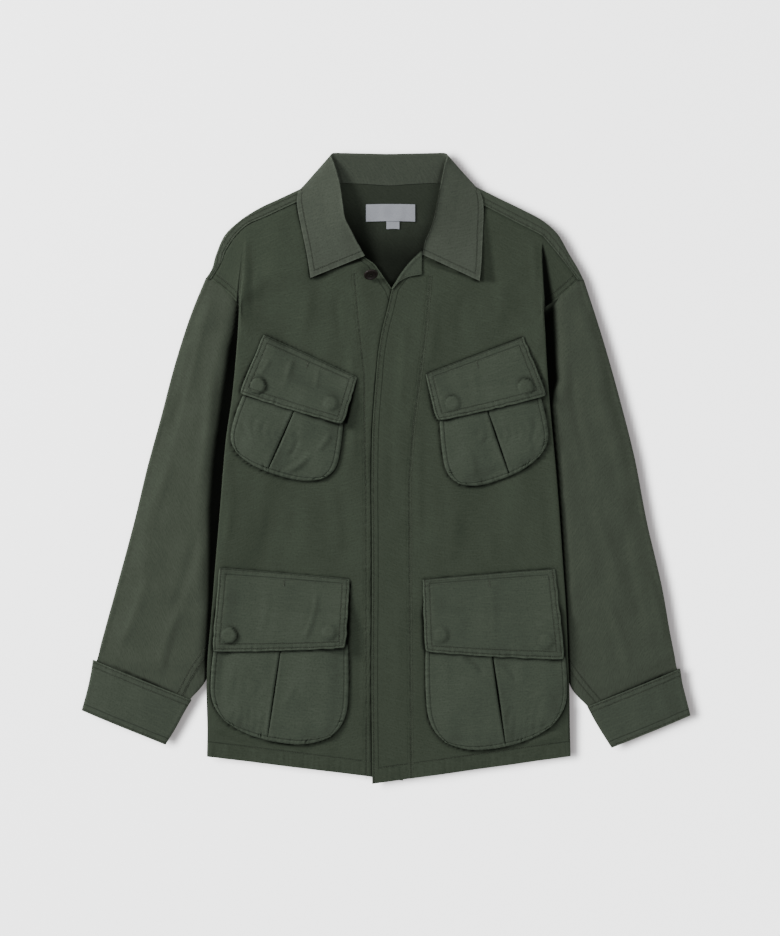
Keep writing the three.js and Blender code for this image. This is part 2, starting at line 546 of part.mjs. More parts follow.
// Pocket bag: a shallow gusseted shell on the front, open along its mouth under the flap.
function bagGeometry(pocket) {
  const [columns, rows] = BAG_STEPS;
  const pleatColumns = [pocket.pleat - PLEAT_HALF_WIDTH, pocket.pleat, pocket.pleat + PLEAT_HALF_WIDTH];
  const plain = Array.from({ length: columns + 1 }, (_, index) => index / columns)
    .filter((share) => Math.abs(share - pocket.pleat) > PLEAT_HALF_WIDTH * 1.4);
  const acrosses = [...plain, ...pleatColumns].sort((a, b) => a - b);
  const downs = Array.from({ length: rows + 1 }, (_, index) => index / rows);
  const place = (across, down, inset) => {
    const low = Math.max(0, (down - 0.55) / 0.45);
    const side = across * 2 - 1;
    const narrow = 1 - BAG_CORNER * low ** 2;
    const rounded = down * (1 - BAG_CORNER * 0.55 * Math.abs(side) ** 3 * low);
    const width = distance(pocket.bag[0], pocket.bag[1]);
    const height = distance(pocket.bag[0], pocket.bag[3]);
    const insideX = side * narrow * (1 - (2 * inset) / width);
    const insideY = inset / height + rounded * (1 - (2 * inset) / height);
    return quadPlace(pocket.bag, 0.5 + insideX / 2, insideY);
  };
  const height = (across, down) => {
    const side = Math.abs(across * 2 - 1);
    const crown = BAG_CROWN * (1 - side ** 4) * (1 - Math.abs(down * 2 - 1) ** 4);
    const pleat = Math.abs(across - pocket.pleat) < 1e-6 ? PLEAT_DEPTH * ease(down * 3) : 0;
    return REST_GAP + BAG_WALL + crown - pleat;
  };
  const layer = (isOuter) => {
    const inset = isOuter ? 0 : CLOTH;
    const lowered = isOuter ? 0 : CLOTH;
    const point = (across, down) => {
      const [x, y] = place(across, down, inset);
      return new THREE.Vector3(x, y, frontTop(pocket.side, x, y) + height(across, down) - lowered);
    };
    const rim = (across, down) => {
      const [x, y] = place(across, down, inset);
      const open = down === 0 && across > 0.1 && across < 0.9;
      const mouthZ = BAG_WALL - CLOTH - (isOuter ? 0 : 0.2);
      return new THREE.Vector3(x, y, frontTop(pocket.side, x, y) + REST_GAP + (open ? mouthZ : 0));
    };
    const first = acrosses[0];
    const last = acrosses[acrosses.length - 1];
    const ring = (down, make) => [
      rim(first, down), ...acrosses.map((across) => make(across, down)), rim(last, down),
    ];
    return [ring(0, rim), ...downs.map((down) => ring(down, point)), ring(1, rim)];
  };
  return layeredGeometry(layer(true), layer(false), false);
}

// Pocket flap: sewn down along its upper edge, then over the bag and the two buttons under it.
function flapGeometry(pocket) {
  const [columns, rows] = FLAP_STEPS;
  const rise = BAG_WALL + BAG_CROWN + REST_GAP + 0.2;
  const bottomZ = (x, y, down) => {
    const nearest = Math.min(...pocket.buttons.map((button) => distance(button, [x, y])));
    const share = 1 - ease((nearest - BUTTON_FLAT) / (BUTTON_SLOPE_END - BUTTON_FLAT));
    const bump = (FLAP_BUTTON_THICKNESS + REST_GAP) * share;
    return frontTop(pocket.side, x, y) + REST_GAP + rise * ease(down / FLAP_RISE_SHARE) + bump;
  };
  const layer = (thickness) => Array.from({ length: rows + 1 }, (_, row) => (
    Array.from({ length: columns + 1 }, (__, column) => {
      const [x, y] = quadPlace(pocket.flap, column / columns, row / rows);
      return new THREE.Vector3(x, y, bottomZ(x, y, row / rows) + thickness);
    })));
  return layeredGeometry(layer(FLAP_CLOTH), layer(0), false);
}

function labelGeometry(label) {
  const downs = [0, 0.25, 0.5, 0.75, 1];
  const bottom = (y) => yokeLevel(y) + CLOTH / 2 + REST_GAP;
  const layer = (thickness) => downs.map((down) => [label.left, label.right].map((x) => {
    const y = mix(label.top, label.bottom, down);
    return new THREE.Vector3(x, y, bottom(y) + thickness);
  }));
  return layeredGeometry(layer(LABEL_CLOTH), layer(0), false);
}

function discGeometry(radius, thickness) {
  const rim = thickness * 0.2;
  const profile = [
    [0, 0], [radius - rim, 0], [radius, rim], [radius, thickness - rim], [radius - rim, thickness],
    [radius * 0.7, thickness * 0.8], [0, thickness * 0.8],
  ].map(([r, z]) => new THREE.Vector2(r, z));
  return new THREE.LatheGeometry(profile, 16).rotateX(Math.PI / 2);
}

const CLOTH_ROUGHNESS = 0.9;
const BUTTON_ROUGHNESS = 0.5;

const jacket = new THREE.Group();

function addPiece(name, geometry, color, roughness = CLOTH_ROUGHNESS) {
  const material = new THREE.MeshStandardMaterial({ color, roughness, metalness: 0 });
  const mesh = new THREE.Mesh(geometry, material);
  mesh.name = name;
  jacket.add(mesh);
  return mesh;
}

addPiece('back_panel', wallGeometry(backGrid(), CLOTH), COLOURS.cloth);
addPiece('back_yoke', wallGeometry(yokeGrid(), CLOTH), COLOURS.cloth);
addPiece('front_right', wallGeometry(FRONT_GRIDS.right, CLOTH), COLOURS.cloth);
addPiece('front_left', wallGeometry(FRONT_GRIDS.left, CLOTH), COLOURS.cloth);

const armholes = {
  right: armholeCurve(ARMHOLE_TIP_RIGHT, FRONT_RIGHT_ROWS),
  left: armholeCurve(ARMHOLE_TIP_LEFT, FRONT_LEFT_ROWS),
};
const tubes = [
  ['sleeve_right', SLEEVE_RIGHT_ROWS, armholes.right, COLOURS.cloth],
  ['sleeve_left', SLEEVE_LEFT_ROWS, armholes.left, COLOURS.cloth],
  ['cuff_right', CUFF_RIGHT_ROWS, armholes.right, COLOURS.cuff],
  ['cuff_left', CUFF_LEFT_ROWS, armholes.left, COLOURS.cuff],
];
for (const [name, rows, armhole, colour] of tubes) {
  addPiece(name, wallGeometry(tubeGrid(rows, armhole), SLEEVE_CLOTH, true), colour);
}

const collarRows = [...COLLAR_RIGHT_ROWS, ...[...COLLAR_LEFT_ROWS].reverse()];
addPiece('collar', wallGeometry(collarRows.map(collarSection), CLOTH), COLOURS.collar);

let buttonCount = 0;
for (const pocket of POCKETS) {
  addPiece(`${pocket.name}_bag_${pocket.side}`, bagGeometry(pocket), COLOURS.cloth);
  addPiece(`${pocket.name}_flap_${pocket.side}`, flapGeometry(pocket), COLOURS.flap);
  for (const [x, y] of pocket.buttons) {
    buttonCount += 1;
    const disc = discGeometry(FLAP_BUTTON_RADIUS, FLAP_BUTTON_THICKNESS);
    const button = addPiece(`flap_button_${buttonCount}`, disc, COLOURS.button, BUTTON_ROUGHNESS);
    const slopeX = (frontTop(pocket.side, x + 2, y) - frontTop(pocket.side, x - 2, y)) / 4;
    const slopeY = (frontTop(pocket.side, x, y + 2) - frontTop(pocket.side, x, y - 2)) / 4;
    const up = new THREE.Vector3(-slopeX, -slopeY, 1).normalize();
    button.quaternion.setFromUnitVectors(new THREE.Vector3(0, 0, 1), up);
    const seat = frontTop(pocket.side, x, y) + REST_GAP + BAG_WALL + BAG_CROWN;
    button.position.set(x, y, seat + SEAM_GAP);
  }
}

const neckButton = addPiece(
  'neck_button', discGeometry(NECK_BUTTON_RADIUS, NECK_BUTTON_THICKNESS), COLOURS.button, BUTTON_ROUGHNESS);
const tilt = THREE.MathUtils.degToRad(NECK_BUTTON_TILT);
neckButton.rotation.set(tilt, 0, 0);
neckButton.position.set(
  ...NECK_BUTTON_PLACE,
  frontTop('right', ...NECK_BUTTON_PLACE) + NECK_BUTTON_RADIUS * Math.sin(tilt) + REST_GAP);

addPiece('neck_label', labelGeometry(LABEL), COLOURS.label);
addPiece('size_tag', labelGeometry(SIZE_TAG), COLOURS.label);

export default jacket;
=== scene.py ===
"""Jungle fatigue jacket, buttoned and laid out flat on its back, seen from straight above."""
import logging
import math
from dataclasses import dataclass, field
from enum import Enum
from typing import NamedTuple

import bmesh
import bpy
import numpy as np
from bpy.types import Material, Node, NodeSocket, NodeTree, Object
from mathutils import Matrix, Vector


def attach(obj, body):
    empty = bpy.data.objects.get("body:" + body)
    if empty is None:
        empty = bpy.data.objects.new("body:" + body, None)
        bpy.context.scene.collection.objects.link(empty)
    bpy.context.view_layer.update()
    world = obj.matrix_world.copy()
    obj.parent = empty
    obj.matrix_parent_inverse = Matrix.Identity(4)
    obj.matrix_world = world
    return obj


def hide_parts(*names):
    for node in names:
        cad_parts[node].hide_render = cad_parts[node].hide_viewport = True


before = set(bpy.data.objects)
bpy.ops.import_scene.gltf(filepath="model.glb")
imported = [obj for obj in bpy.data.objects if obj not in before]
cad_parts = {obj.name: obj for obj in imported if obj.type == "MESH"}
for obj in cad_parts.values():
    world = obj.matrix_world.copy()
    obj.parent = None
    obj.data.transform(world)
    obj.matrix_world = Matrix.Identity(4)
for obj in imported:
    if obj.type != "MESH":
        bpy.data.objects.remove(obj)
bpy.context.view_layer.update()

Array = np.ndarray
Pair = tuple[float, float]
Triple = tuple[float, float, float]

MM = 0.001
CLOTH = 1.2
FLAP_CLOTH = 1.5
LABEL_CLOTH = 1.0
LIE_GAP = 0.35
STITCH_PITCH = 2.6
PUCKER_PITCH = 6.5
FAR = 500.0
SHARP_ANGLE = 60.0
ROOT = "root"
SEED = 20261

FLOAT, VECTOR, COLOR = "NodeSocketFloat", "NodeSocketVector", "NodeSocketColor"

log = logging.getLogger("jacket")


class Side(Enum):
    """Wearer's side of a piece."""

    RIGHT = "right"
    LEFT = "left"


class FrontRow(NamedTuple):
    """Section of a front: places in the plane and heights of the middle surface."""

    edge: Pair
    fold: Pair
    seam: Pair
    edge_z: float
    fold_z: float
    return_z: float
    near_z: float
    seam_z: float


class TubeRow(NamedTuple):
    """Section of a sleeve or cuff: both edges, height, and share of the armhole's curve."""

    outer: Pair
    inner: Pair
    height: float = 7.8
    curve: float = 0


class YokeColumn(NamedTuple):
    """Column of the yoke: back seam, shoulder fold, front seam, height and wrap."""

    back: Pair
    fold: Pair
    front: Pair
    top_z: float
    wrap: bool


class CollarRow(NamedTuple):
    """Section of the collar: neck seam, roll line, outer edge, least height of the fall."""

    seam: Triple
    roll: Triple
    edge: Triple
    fall_z: float


class Crease(NamedTuple):
    """Soft ridge, or trough where the height is negative, along a bent line in the plane."""

    x0: float
    y0: float
    x1: float
    y1: float
    width: float
    height: float
    bend: float


class Strip(NamedTuple):
    """Strip of painted shade on the left of a line: widths at both ends, fade and darkness."""

    side: Side
    start: Pair
    end: Pair
    wide: Pair
    soft: float
    depth: float


def rows_of(kind: type, table: dict[Side, list[tuple]]) -> dict[Side, list]:
    """Read a table's plain rows as named ones."""
    return {side: [kind(*row) for row in rows] for side, rows in table.items()}


FRONT_ROWS = rows_of(FrontRow, {
    Side.RIGHT: [
        ((-81.5, 352.6), (-178, 308), (-219.5, 240), 6.2, 5.2, 5.2, 5.2, 5.2),
        ((-66, 312.5), (-182, 270.5), (-206.4, 229.4), 5.8, 6.8, 5.6, 5.2, 5.2),
        ((-45.5, 280.5), (-185, 235), (-194.3, 217.2), 5.5, 8.8, 6.6, 5.8, 5.6),
        ((-14.5, 259.5), (-186.5, 206), (-185.2, 203), 5.4, 11.2, 6.9, 6.9, 6.9),
        ((7.5, 228), (-188, 169), (-167.5, 166.5), 5, 12.1, 8.9, 7.4, 6.9),
        ((20.5, 190), (-191, 131), (-145, 127), 4.8, 12.1, 8.9, 7.4, 6.9),
        ((21.5, 105.5), (-196, 84), (-122, 86.5), 4.8, 12.1, 8.9, 7.4, 6.6),
        ((21.5, 48.5), (-202.5, 39.5), (-107, 56), 4.8, 12.1, 8.9, 6.6, 5.2),
        ((21.5, -15), (-206.5, -2.5), (-122, 10), 4.8, 12.1, 8.9, 6, 2.1),
        ((21.5, -91.5), (-211, -59.5), (-141, -53.5), 4.8, 11.9, 8.7, 6, 2.1),
        ((21.5, -167.5), (-216.5, -123), (-165, -123), 4.8, 11, 7.8, 6, 2.1),
        ((21.5, -244), (-221.5, -186.5), (-186.5, -189), 4.8, 10.2, 7, 5.9, 2.1),
        ((21.5, -294.5), (-226.5, -244), (-208.5, -246.5), 4.8, 9.4, 6.2, 5.4, 2.1),
        ((21.5, -340), (-228, -288.5), (-221, -289.5), 4.8, 5.3, 2.1, 2.1, 2.1),
        ((21.5, -368), (-227, -332.5), (-221, -332.5), 4.8, 5.3, 2.1, 2.1, 2.1),
        ((21.5, -397.5), (-227.5, -367), (-221.5, -367.5), 4.8, 5.3, 2.1, 2.1, 2.1),
    ],
    Side.LEFT: [
        ((87.5, 352.6), (196.5, 296), (241, 238.3), 6.2, 5.2, 5.2, 5.2, 5.2),
        ((76, 312.5), (197, 261.5), (229, 226), 6, 7, 5.6, 5.2, 5.2),
        ((58.5, 282), (198.5, 232), (215.5, 213.5), 6.2, 9.2, 6.6, 5.8, 5.6),
        ((33, 261.5), (200.5, 204), (199.5, 201.5), 6.8, 11.4, 6.9, 6.9, 6.9),
        ((7.5, 228), (202, 169), (178, 166.5), 7, 12.1, 8.9, 7.4, 6.9),
        ((-8.5, 156), (204, 131), (153.5, 127), 6.9, 12.1, 8.9, 7.4, 6.9),
        ((-13.5, 105.5), (207.5, 84), (131, 86.5), 6.9, 12.1, 8.9, 7.4, 6.6),
        ((-17.5, 48.5), (211.5, 39.5), (115, 56), 6.9, 12.1, 8.9, 6.6, 5.2),
        ((-18.5, -15), (215.5, -2.5), (128.5, 10), 6.9, 12.1, 8.9, 6, 2.1),
        ((-18, -91.5), (220, -59.5), (147.5, -53.5), 6.9, 11.9, 8.7, 6, 2.1),
        ((-18, -167.5), (224.5, -123), (171.5, -123), 6.9, 11, 7.8, 6, 2.1),
        ((-18.5, -244), (228.5, -180.5), (193, -183), 6.9, 10.2, 7, 5.9, 2.1),
        ((-18.5, -294.5), (231, -241.5), (213, -244), 6.9, 9.4, 6.2, 5.4, 2.1),
        ((-18, -345.5), (233, -284.5), (226, -287), 6.9, 5.3, 2.1, 2.1, 2.1),
        ((-17.7, -373), (233.5, -326.5), (227.5, -326.5), 6.9, 5.3, 2.1, 2.1, 2.1),
        ((-17.5, -401.5), (234.5, -366.5), (228.5, -367), 6.9, 5.3, 2.1, 2.1, 2.1),
    ],
})
FIRST_TUCKED_ROW = 3

SLEEVE_ROWS = rows_of(TubeRow, {
    Side.RIGHT: [
        ((-230.5, 239.3), (-107, 56), 5.8, 1), ((-247, 199), (-128, 23), 7.2, 0.4),
        ((-267, 138), (-144, -21.5), 7.8, 0.1), ((-287.5, 61), (-162, -72.5)),
        ((-303.5, 2.5), (-177, -119.5)), ((-320, -66), (-195, -171.5)),
        ((-344, -155), (-219, -233.5)), ((-358, -205.5), (-230, -271.5), 7.6),
        ((-368.3, -243.3), (-248.5, -294), 7.2),
    ],
    Side.LEFT: [
        ((252.5, 237), (115, 56), 5.8, 1), ((269, 186.5), (135, 23), 7.2, 0.4),
        ((282, 143.5), (151, -21.5), 7.8, 0.1), ((302.5, 69), (169, -72.5)),
        ((316.5, 12.5), (184, -119.5)), ((331.5, -66), (202, -171.5)),
        ((352, -155), (226, -233.5)), ((362, -212), (236, -280), 7.6),
        ((370.8, -256), (256, -303), 7.2),
    ],
})
CUFF_ROWS = rows_of(TubeRow, {
    Side.RIGHT: [
        ((-373.3, -243.8), (-247.5, -295.2)), ((-375.5, -259), (-255.5, -308.5)),
        ((-381, -284.5), (-268, -331.5)), ((-387.5, -308), (-280.5, -352), 7.6),
    ],
    Side.LEFT: [
        ((374.5, -255.1), (256, -303.5)), ((377, -272), (263, -317)),
        ((382.5, -294.5), (274.5, -336.5)), ((387.5, -314.5), (287, -356), 7.6),
    ],
})
ARMHOLE_TIP = {Side.RIGHT: (-230.5, 239.3), Side.LEFT: (252.5, 237)}

YOKE_BACK = 175.5
YOKE_FLAT = 2.1
YOKE_COLUMNS = {
    side: [YokeColumn((x, YOKE_BACK), fold, front, top, top > YOKE_FLAT)
           for x, fold, front, top in rows]
    for side, rows in {
        Side.RIGHT: [
            (-172, (-229.6, 240.6), (-222.5, 240.6), 5.2), (-160, (-224, 248.5), (-213, 256), 5.2),
            (-146, (-216, 272), (-204.5, 276), 5.2), (-130, (-204.5, 297), (-191, 296), 5.2),
            (-116, (-189, 312), (-178, 308.4), 5.2), (-104, (-162.5, 329.5), (-154, 319.5), 5.3),
            (-90, (-136, 342), (-130, 330.6), 5.6), (-74, (-111.5, 353.5), (-106, 341.7), 5.9),
            (-62, (-86, 365), (-82, 352.9), 6.2), (-54, (-71.5, 361.6), (-71, 361.8), 2.1),
            (-40, (-50, 362), (-50, 362.1), 2.1), (-18, (-22, 360.5), (-22, 360.6), 2.1),
        ],
        Side.LEFT: [
            (183, (251.6, 238.4), (244.2, 238.9), 5.2), (171, (246.5, 249), (233.5, 253.5), 5.2),
            (157, (233, 272), (220, 270.5), 5.2), (141, (217, 299), (203.5, 290), 5.2),
            (127, (200, 314), (196.6, 296.6), 5.2), (114, (176, 327), (169, 310.8), 5.3),
            (98, (146, 341.5), (142, 324.8), 5.6), (80, (118.5, 355), (114, 339.3), 5.9),
            (68, (92, 366.5), (88, 352.9), 6.2), (60, (79, 361.6), (78.5, 361.8), 2.1),
            (47, (58, 362), (58, 362.1), 2.1), (25, (30, 360.5), (30, 360.6), 2.1),
        ],
    }.items()
}
YOKE_MIDDLE = YokeColumn((4, YOKE_BACK), (4, 359), (4, 359.1), YOKE_FLAT, False)
NECK_LIFT = 2.2
NECK_LIFT_START = 300.0
NECK_LIFT_END = 331.0

COLLAR_ROWS = rows_of(CollarRow, {
    Side.RIGHT: [
        ((-30, 271.9, 5.6), (-27, 269.5, 9.4), (-96, 241.5, 8.3), 8.4),
        ((-44.6, 281.5, 5.6), (-36, 285.5, 12.5), (-98.5, 258, 8.3), 8.4),
        ((-54.6, 297.2, 5.7), (-43.5, 300.5, 15.5), (-102, 278, 8.3), 8.6),
        ((-64.8, 313.2, 5.9), (-51.5, 316.5, 17.5), (-107, 302, 7.8), 8.8),
        ((-72.4, 333, 6.1), (-54.5, 337, 18), (-111.5, 324, 8), 9),
        ((-80.2, 353.4, 6.2), (-58, 360, 16.5), (-113.4, 340, 8.2), 9),
        ((-78.2, 358.8, 5.8), (-61.5, 374, 14), (-112.6, 346.8, 8), 8.2),
        ((-75.6, 361.3, 4.9), (-66.5, 390, 11.5), (-111.8, 350.2, 6.8), 6.6),
        ((-73.3, 362.4, 3.9), (-70.2, 399, 8.5), (-111, 352, 4.2), 4.2),
        ((-71, 362.6, 2.8), (-67.5, 400.5, 7), (-109.6, 351.4, 1.7), 1.5),
        ((-62, 362.7, 2.8), (-57, 400.6, 6.5), (-104, 347, 0.6), 0.6),
        ((-45, 362.3, 2.8), (-42, 400.4, 6.2), (-70, 339.5, 0.6), 0.6),
        ((-20, 361, 2.8), (-20, 400, 6), (-30, 336.5, 0.6), 0.6),
        ((4, 359.5, 2.8), (4, 399.5, 6), (4, 335.5, 0.6), 0.6),
    ],
    Side.LEFT: [
        ((48, 274.6, 6.9), (46.5, 271, 10.4), (119, 237.5, 9.6), 9.6),
        ((57.6, 283, 6.5), (49.5, 287, 13), (121, 257, 9.2), 9.4),
        ((66.4, 297.6, 6.3), (55.5, 301, 15.5), (122, 278, 8.8), 9.2),
        ((74.8, 313.2, 6.1), (60.5, 316.5, 17.5), (123, 302, 8), 9),
        ((80.4, 333, 6.1), (65, 338, 18), (124, 324, 8.2), 9),
        ((86.2, 353.4, 6.2), (69, 360, 16.5), (123, 340, 8.2), 9),
        ((84.7, 358.8, 5.8), (72, 374, 14), (121, 347, 8), 8.2),
        ((82.6, 361.3, 4.9), (75.5, 390, 11.5), (119.4, 350.8, 6.8), 6.6),
        ((80.8, 362.4, 3.9), (78, 399, 8.5), (118, 353, 4.2), 4.2),
        ((78.5, 362.6, 2.8), (75, 400.5, 7), (116.6, 352.4, 1.7), 1.5),
        ((69.5, 362.7, 2.8), (65, 400.6, 6.5), (111, 347, 0.6), 0.6),
        ((52, 362.3, 2.8), (50, 400.4, 6.2), (77, 339.5, 0.6), 0.6),
        ((28, 361, 2.8), (28, 400, 6), (38, 336.5, 0.6), 0.6),
    ],
})

FRONT_CREASES = rows_of(Crease, {
    Side.RIGHT: [
        (-179, 306, -184, 205, 8, 1.0, 2), (-168, 270, -171, 180, 7, -0.7, -1),
        (-96, 240, -108, 168, 12, 0.9, 2), (-62, 232, -58, 150, 10, -0.8, -2),
        (-46, 175, -43, -12, 9, 1.0, 2), (-12, 196, -18, 40, 11, 0.8, 2),
        (-3, 120, -8, -60, 9, -0.7, 2), (-72, -14, -62, -124, 15, 1.1, 4),
        (-112, -16, -118, -122, 14, -0.9, -3), (-158, 5, -170, -120, 15, 1.0, 5),
        (-196, 5, -207, -112, 9, 0.9, 2), (-34, -150, -36, -330, 10, -1.0, 2),
        (-14, -120, -12, -340, 12, 0.8, -3), (-229, -327, -158, -353, 7, 1.7, 2),
        (-120, -372, -40, -384, 8, 0.7, 1),
    ],
    Side.LEFT: [
        (186, 296, 191, 220, 8, 0.8, 0), (146, 240, 142, 176, 13, 0.9, 2),
        (100, 225, 92, 160, 12, -0.8, -2), (62, 214, 52, 125, 11, 0.8, 2),
        (26, 200, 18, 60, 10, 0.8, -2), (6, 100, 2, -80, 11, -0.7, 2),
        (42, 60, 44, -120, 9, 0.7, -2), (86, -42, 80, -128, 15, 1.0, 3),
        (140, -50, 150, -124, 14, -0.8, -3), (186, -16, 200, -122, 12, 1.0, 3),
        (-12, -238, 32, -244, 5, 0.6, 1), (14, -130, 10, -340, 12, 0.8, 3),
        (172, -351, 232, -339, 7, 1.7, 1), (60, -384, 150, -376, 8, 0.7, 1),
    ],
})
SLEEVE_CREASES = rows_of(Crease, {
    Side.RIGHT: [
        (-222, 222, -262, 60, 15, 1.3, -7), (-240, 190, -285, 20, 10, -1.0, 5),
        (-225, 150, -240, -40, 12, 1.0, 6), (-270, 20, -318, -150, 15, 1.2, -8),
        (-235, -60, -285, -210, 13, -1.1, 6), (-300, -120, -345, -235, 12, 1.0, 5),
        (-260, -170, -290, -270, 10, 1.0, -4),
    ],
    Side.LEFT: [
        (240, 222, 278, 70, 14, 1.3, 7), (232, 150, 262, -20, 11, -1.0, -5),
        (262, 120, 305, -40, 13, 1.1, 6), (250, -20, 300, -190, 13, 1.2, 8),
        (300, -60, 335, -220, 14, -1.1, -6), (270, -150, 310, -270, 11, 1.0, 5),
        (330, -130, 355, -235, 10, 1.0, 4),
    ],
})

FOLD_GAPS = {
    Side.RIGHT: [(308, 0.0), (215, 3.0), (180, 7.0), (151, 12.5), (90, 16.0), (50, 15.5), (9, 17.0),
                 (-52, 16.5), (-110, 11.0), (-165, 7.0), (-230, 5.0), (-285, 3.0), (-300, 0.0)],
    Side.LEFT: [(294, 0.0), (265, 7.0), (200, 14.5), (112, 14.0), (97, 8.0), (80, 4.5), (-50, 4.2),
                (-120, 3.6), (-230, 3.2), (-290, 2.5), (-305, 0.0)],
}

# Painted shadows beside the lifted edges of two flaps and beside and under the collar leaves.
STRIPS = [
    Strip(Side.RIGHT, (-37, 115), (-54.5, 56), (1.0, 5.0), 1.5, 0.97),
    Strip(Side.RIGHT, (-46.5, -141.5), (-51.5, -227.5), (2.2, 3.6), 1.5, 0.97),
    Strip(Side.RIGHT, (-28, 268.5), (-95, 242), (3.4, 1.0), 2.0, 0.85),
    Strip(Side.LEFT, (125.5, 322), (120, 236), (1.0, 18.0), 8.0, 0.42),
    Strip(Side.LEFT, (46, 266), (119, 238), (0.5, 0.5), 2.0, 0.4),
]


def fold_distance(side: Side, x: Array, y: Array) -> tuple[Array, Array]:
    """Distance beyond a front's folded side, and the width of the gap beside it.

    Args:
        side: Wearer's side.
        x: Places across.
        y: Places along.

    Returns:
        Distance outwards from the fold, and the gap's width.
    """
    folds = np.array([row.fold for row in reversed(FRONT_ROWS[side])])
    edge = np.interp(y, folds[:, 1], folds[:, 0])
    outward = -1.0 if side is Side.RIGHT else 1.0
    gaps = np.array(list(reversed(FOLD_GAPS[side])))
    return (x - edge) * outward, np.interp(y, gaps[:, 0], gaps[:, 1])


def fold_gloom(side: Side, x: Array, y: Array) -> Array:
    """Painted shade in the deep gap beside a front's fold, from 0 to 1.

    Args:
        side: Wearer's side.
        x: Places across.
        y: Places along.

    Returns:
        Painted shade at each place.
    """
    far, gap = fold_distance(side, x, y)
    fade = 1 - ease((far - gap * 0.76) / (gap * 0.5 + 0.8))
    return 0.98 * fade * np.clip(gap / 3, 0, 1) * ease((far + 60) / 20)


@dataclass(frozen=True)
class PocketCut:
    """Places of one pocket: corners run top left, top right, bottom right, bottom left."""

    name: str
    side: Side
    flap: tuple[Pair, ...]
    bag: tuple[Pair, ...]
    pleat: tuple[Pair, Pair]
    pleat_open: float
    buttons: tuple[Pair, ...]
    lift_left: float
    lift_right: float
    bag_creases: tuple[Crease, ...] = ()
    flap_creases: tuple[Crease, ...] = ()


POCKETS = [
    PocketCut(
        "chest", Side.RIGHT,
        ((-155, 169), (-37, 115), (-54.5, 56), (-185.5, 95)),
        ((-171, 118), (-52, 84), (-70, -30), (-206, 12)),
        ((-118.7, 68.2), (-151, -4)), 1.1, ((-162.5, 106), (-70, 82)), 0.6, 4.5,
        (Crease(-92, 24, -137, -10, 6, 1.8, 4), Crease(-110, 43, -126, 10, 5, -1.3, 2),
         Crease(-71, 46, -89, 21, 5, 1.4, 2), Crease(-190, 60, -196, 20, 6, 0.8, 2)),
        (Crease(-120, 140, -135, 95, 9, 0.8, 3), Crease(-146, 142, -162, 116, 4, 1.0, 1),
         Crease(-118, 140, -127, 112, 5, 0.9, -1), Crease(-86, 130, -92, 98, 5, 0.9, 1)),
    ),
    PocketCut(
        "chest", Side.LEFT,
        ((50.5, 119), (174, 166), (203.5, 92), (64.5, 60)),
        ((66, 88), (190, 112), (210.5, 10), (82, -38)),
        ((130.4, 68.2), (158, -12.4)), 1.2, ((84.5, 81.5), (176.5, 104)), 0.8, 1.0,
        (Crease(100, 30, 112, -14, 7, 0.9, 3), Crease(180, 50, 188, 12, 7, -0.8, 3)),
        (Crease(110, 130, 118, 80, 10, 0.8, -3),),
    ),
    PocketCut(
        "hip", Side.RIGHT,
        ((-211, -127), (-46.5, -141.5), (-51.5, -227.5), (-220, -232.5)),
        ((-212, -182), (-49.5, -190), (-54, -362), (-223.5, -334)),
        ((-134.6, -234.2), (-150.4, -342.9)), 1.0, ((-199, -212), (-72.5, -208)), 0.6, 4.5,
        (Crease(-116, -270, -135, -306, 7, 0.9, 3), Crease(-190, -250, -200, -310, 8, -0.7, 3)),
        (Crease(-88, -150, -107, -224, 6, 1.5, 4), Crease(-150, -150, -160, -215, 9, 0.8, 2)),
    ),
    PocketCut(
        "hip", Side.LEFT,
        ((47, -142), (214, -128), (226, -242.5), (50, -232.5)),
        ((51, -186.5), (221, -184), (230, -340), (58, -370)),
        ((135.4, -240.8), (150.4, -344.5)), 1.6, ((69.5, -211.5), (203, -219)), 0.7, 0.7,
        (Crease(96, -238, 126, -264, 6, -2.0, 2), Crease(147, -248, 166, -273, 5, -1.3, 2),
         Crease(172, -350, 229, -339, 4, 1.0, 1)),
        (Crease(130, -140, 135, -230, 9, 0.7, 3),),
    ),
]


def lerp(a: Array, b: Array, share: Array | float) -> Array:
    """Mix two values or arrays by a share."""
    return a + (b - a) * share


def ease(value: Array | float) -> Array:
    """Smooth step from 0 to 1."""
    share = np.clip(value, 0.0, 1.0)
    return share * share * (3 - 2 * share)


def beside_line(start: Pair, end: Pair, x: Array,
                y: Array) -> tuple[Array, Array, float]:
    """Measure places from a straight line.

    Args:
        start: First end of the line.
        end: Last end of the line.
        x: Places across.
        y: Places along.

    Returns:
        Distance run along the line, distance to its left, and its length.
    """
    (x0, y0), (x1, y1) = start, end
    length = math.hypot(x1 - x0, y1 - y0)
    run = ((x - x0) * (x1 - x0) + (y - y0) * (y1 - y0)) / length
    return run, ((x - x0) * (y0 - y1) + (y - y0) * (x1 - x0)) / length, length


def strip_gloom(side: Side, x: Array, y: Array) -> Array:
    """Painted shade beside the lifted edges of flaps and collar leaves, from 0 to 1.

    Args:
        side: Wearer's side.
        x: Places across.
        y: Places along.

    Returns:
        Painted shade at each place.
    """
    total = np.zeros_like(x)
    for strip in STRIPS:
        if strip.side is not side:
            continue
        run, off, length = beside_line(strip.start, strip.end, x, y)
        along = run / length
        wide = lerp(strip.wide[0], strip.wide[1], np.clip(along, 0, 1))
        band = ease((off + 4) / 1.5) * (1 - ease((off - wide + strip.soft * 0.3) / strip.soft))
        ends = ease((along - 0.01) / 0.06) * ease((1.01 - along) / 0.05)
        total = np.maximum(total, strip.depth * band * ends)
    return total


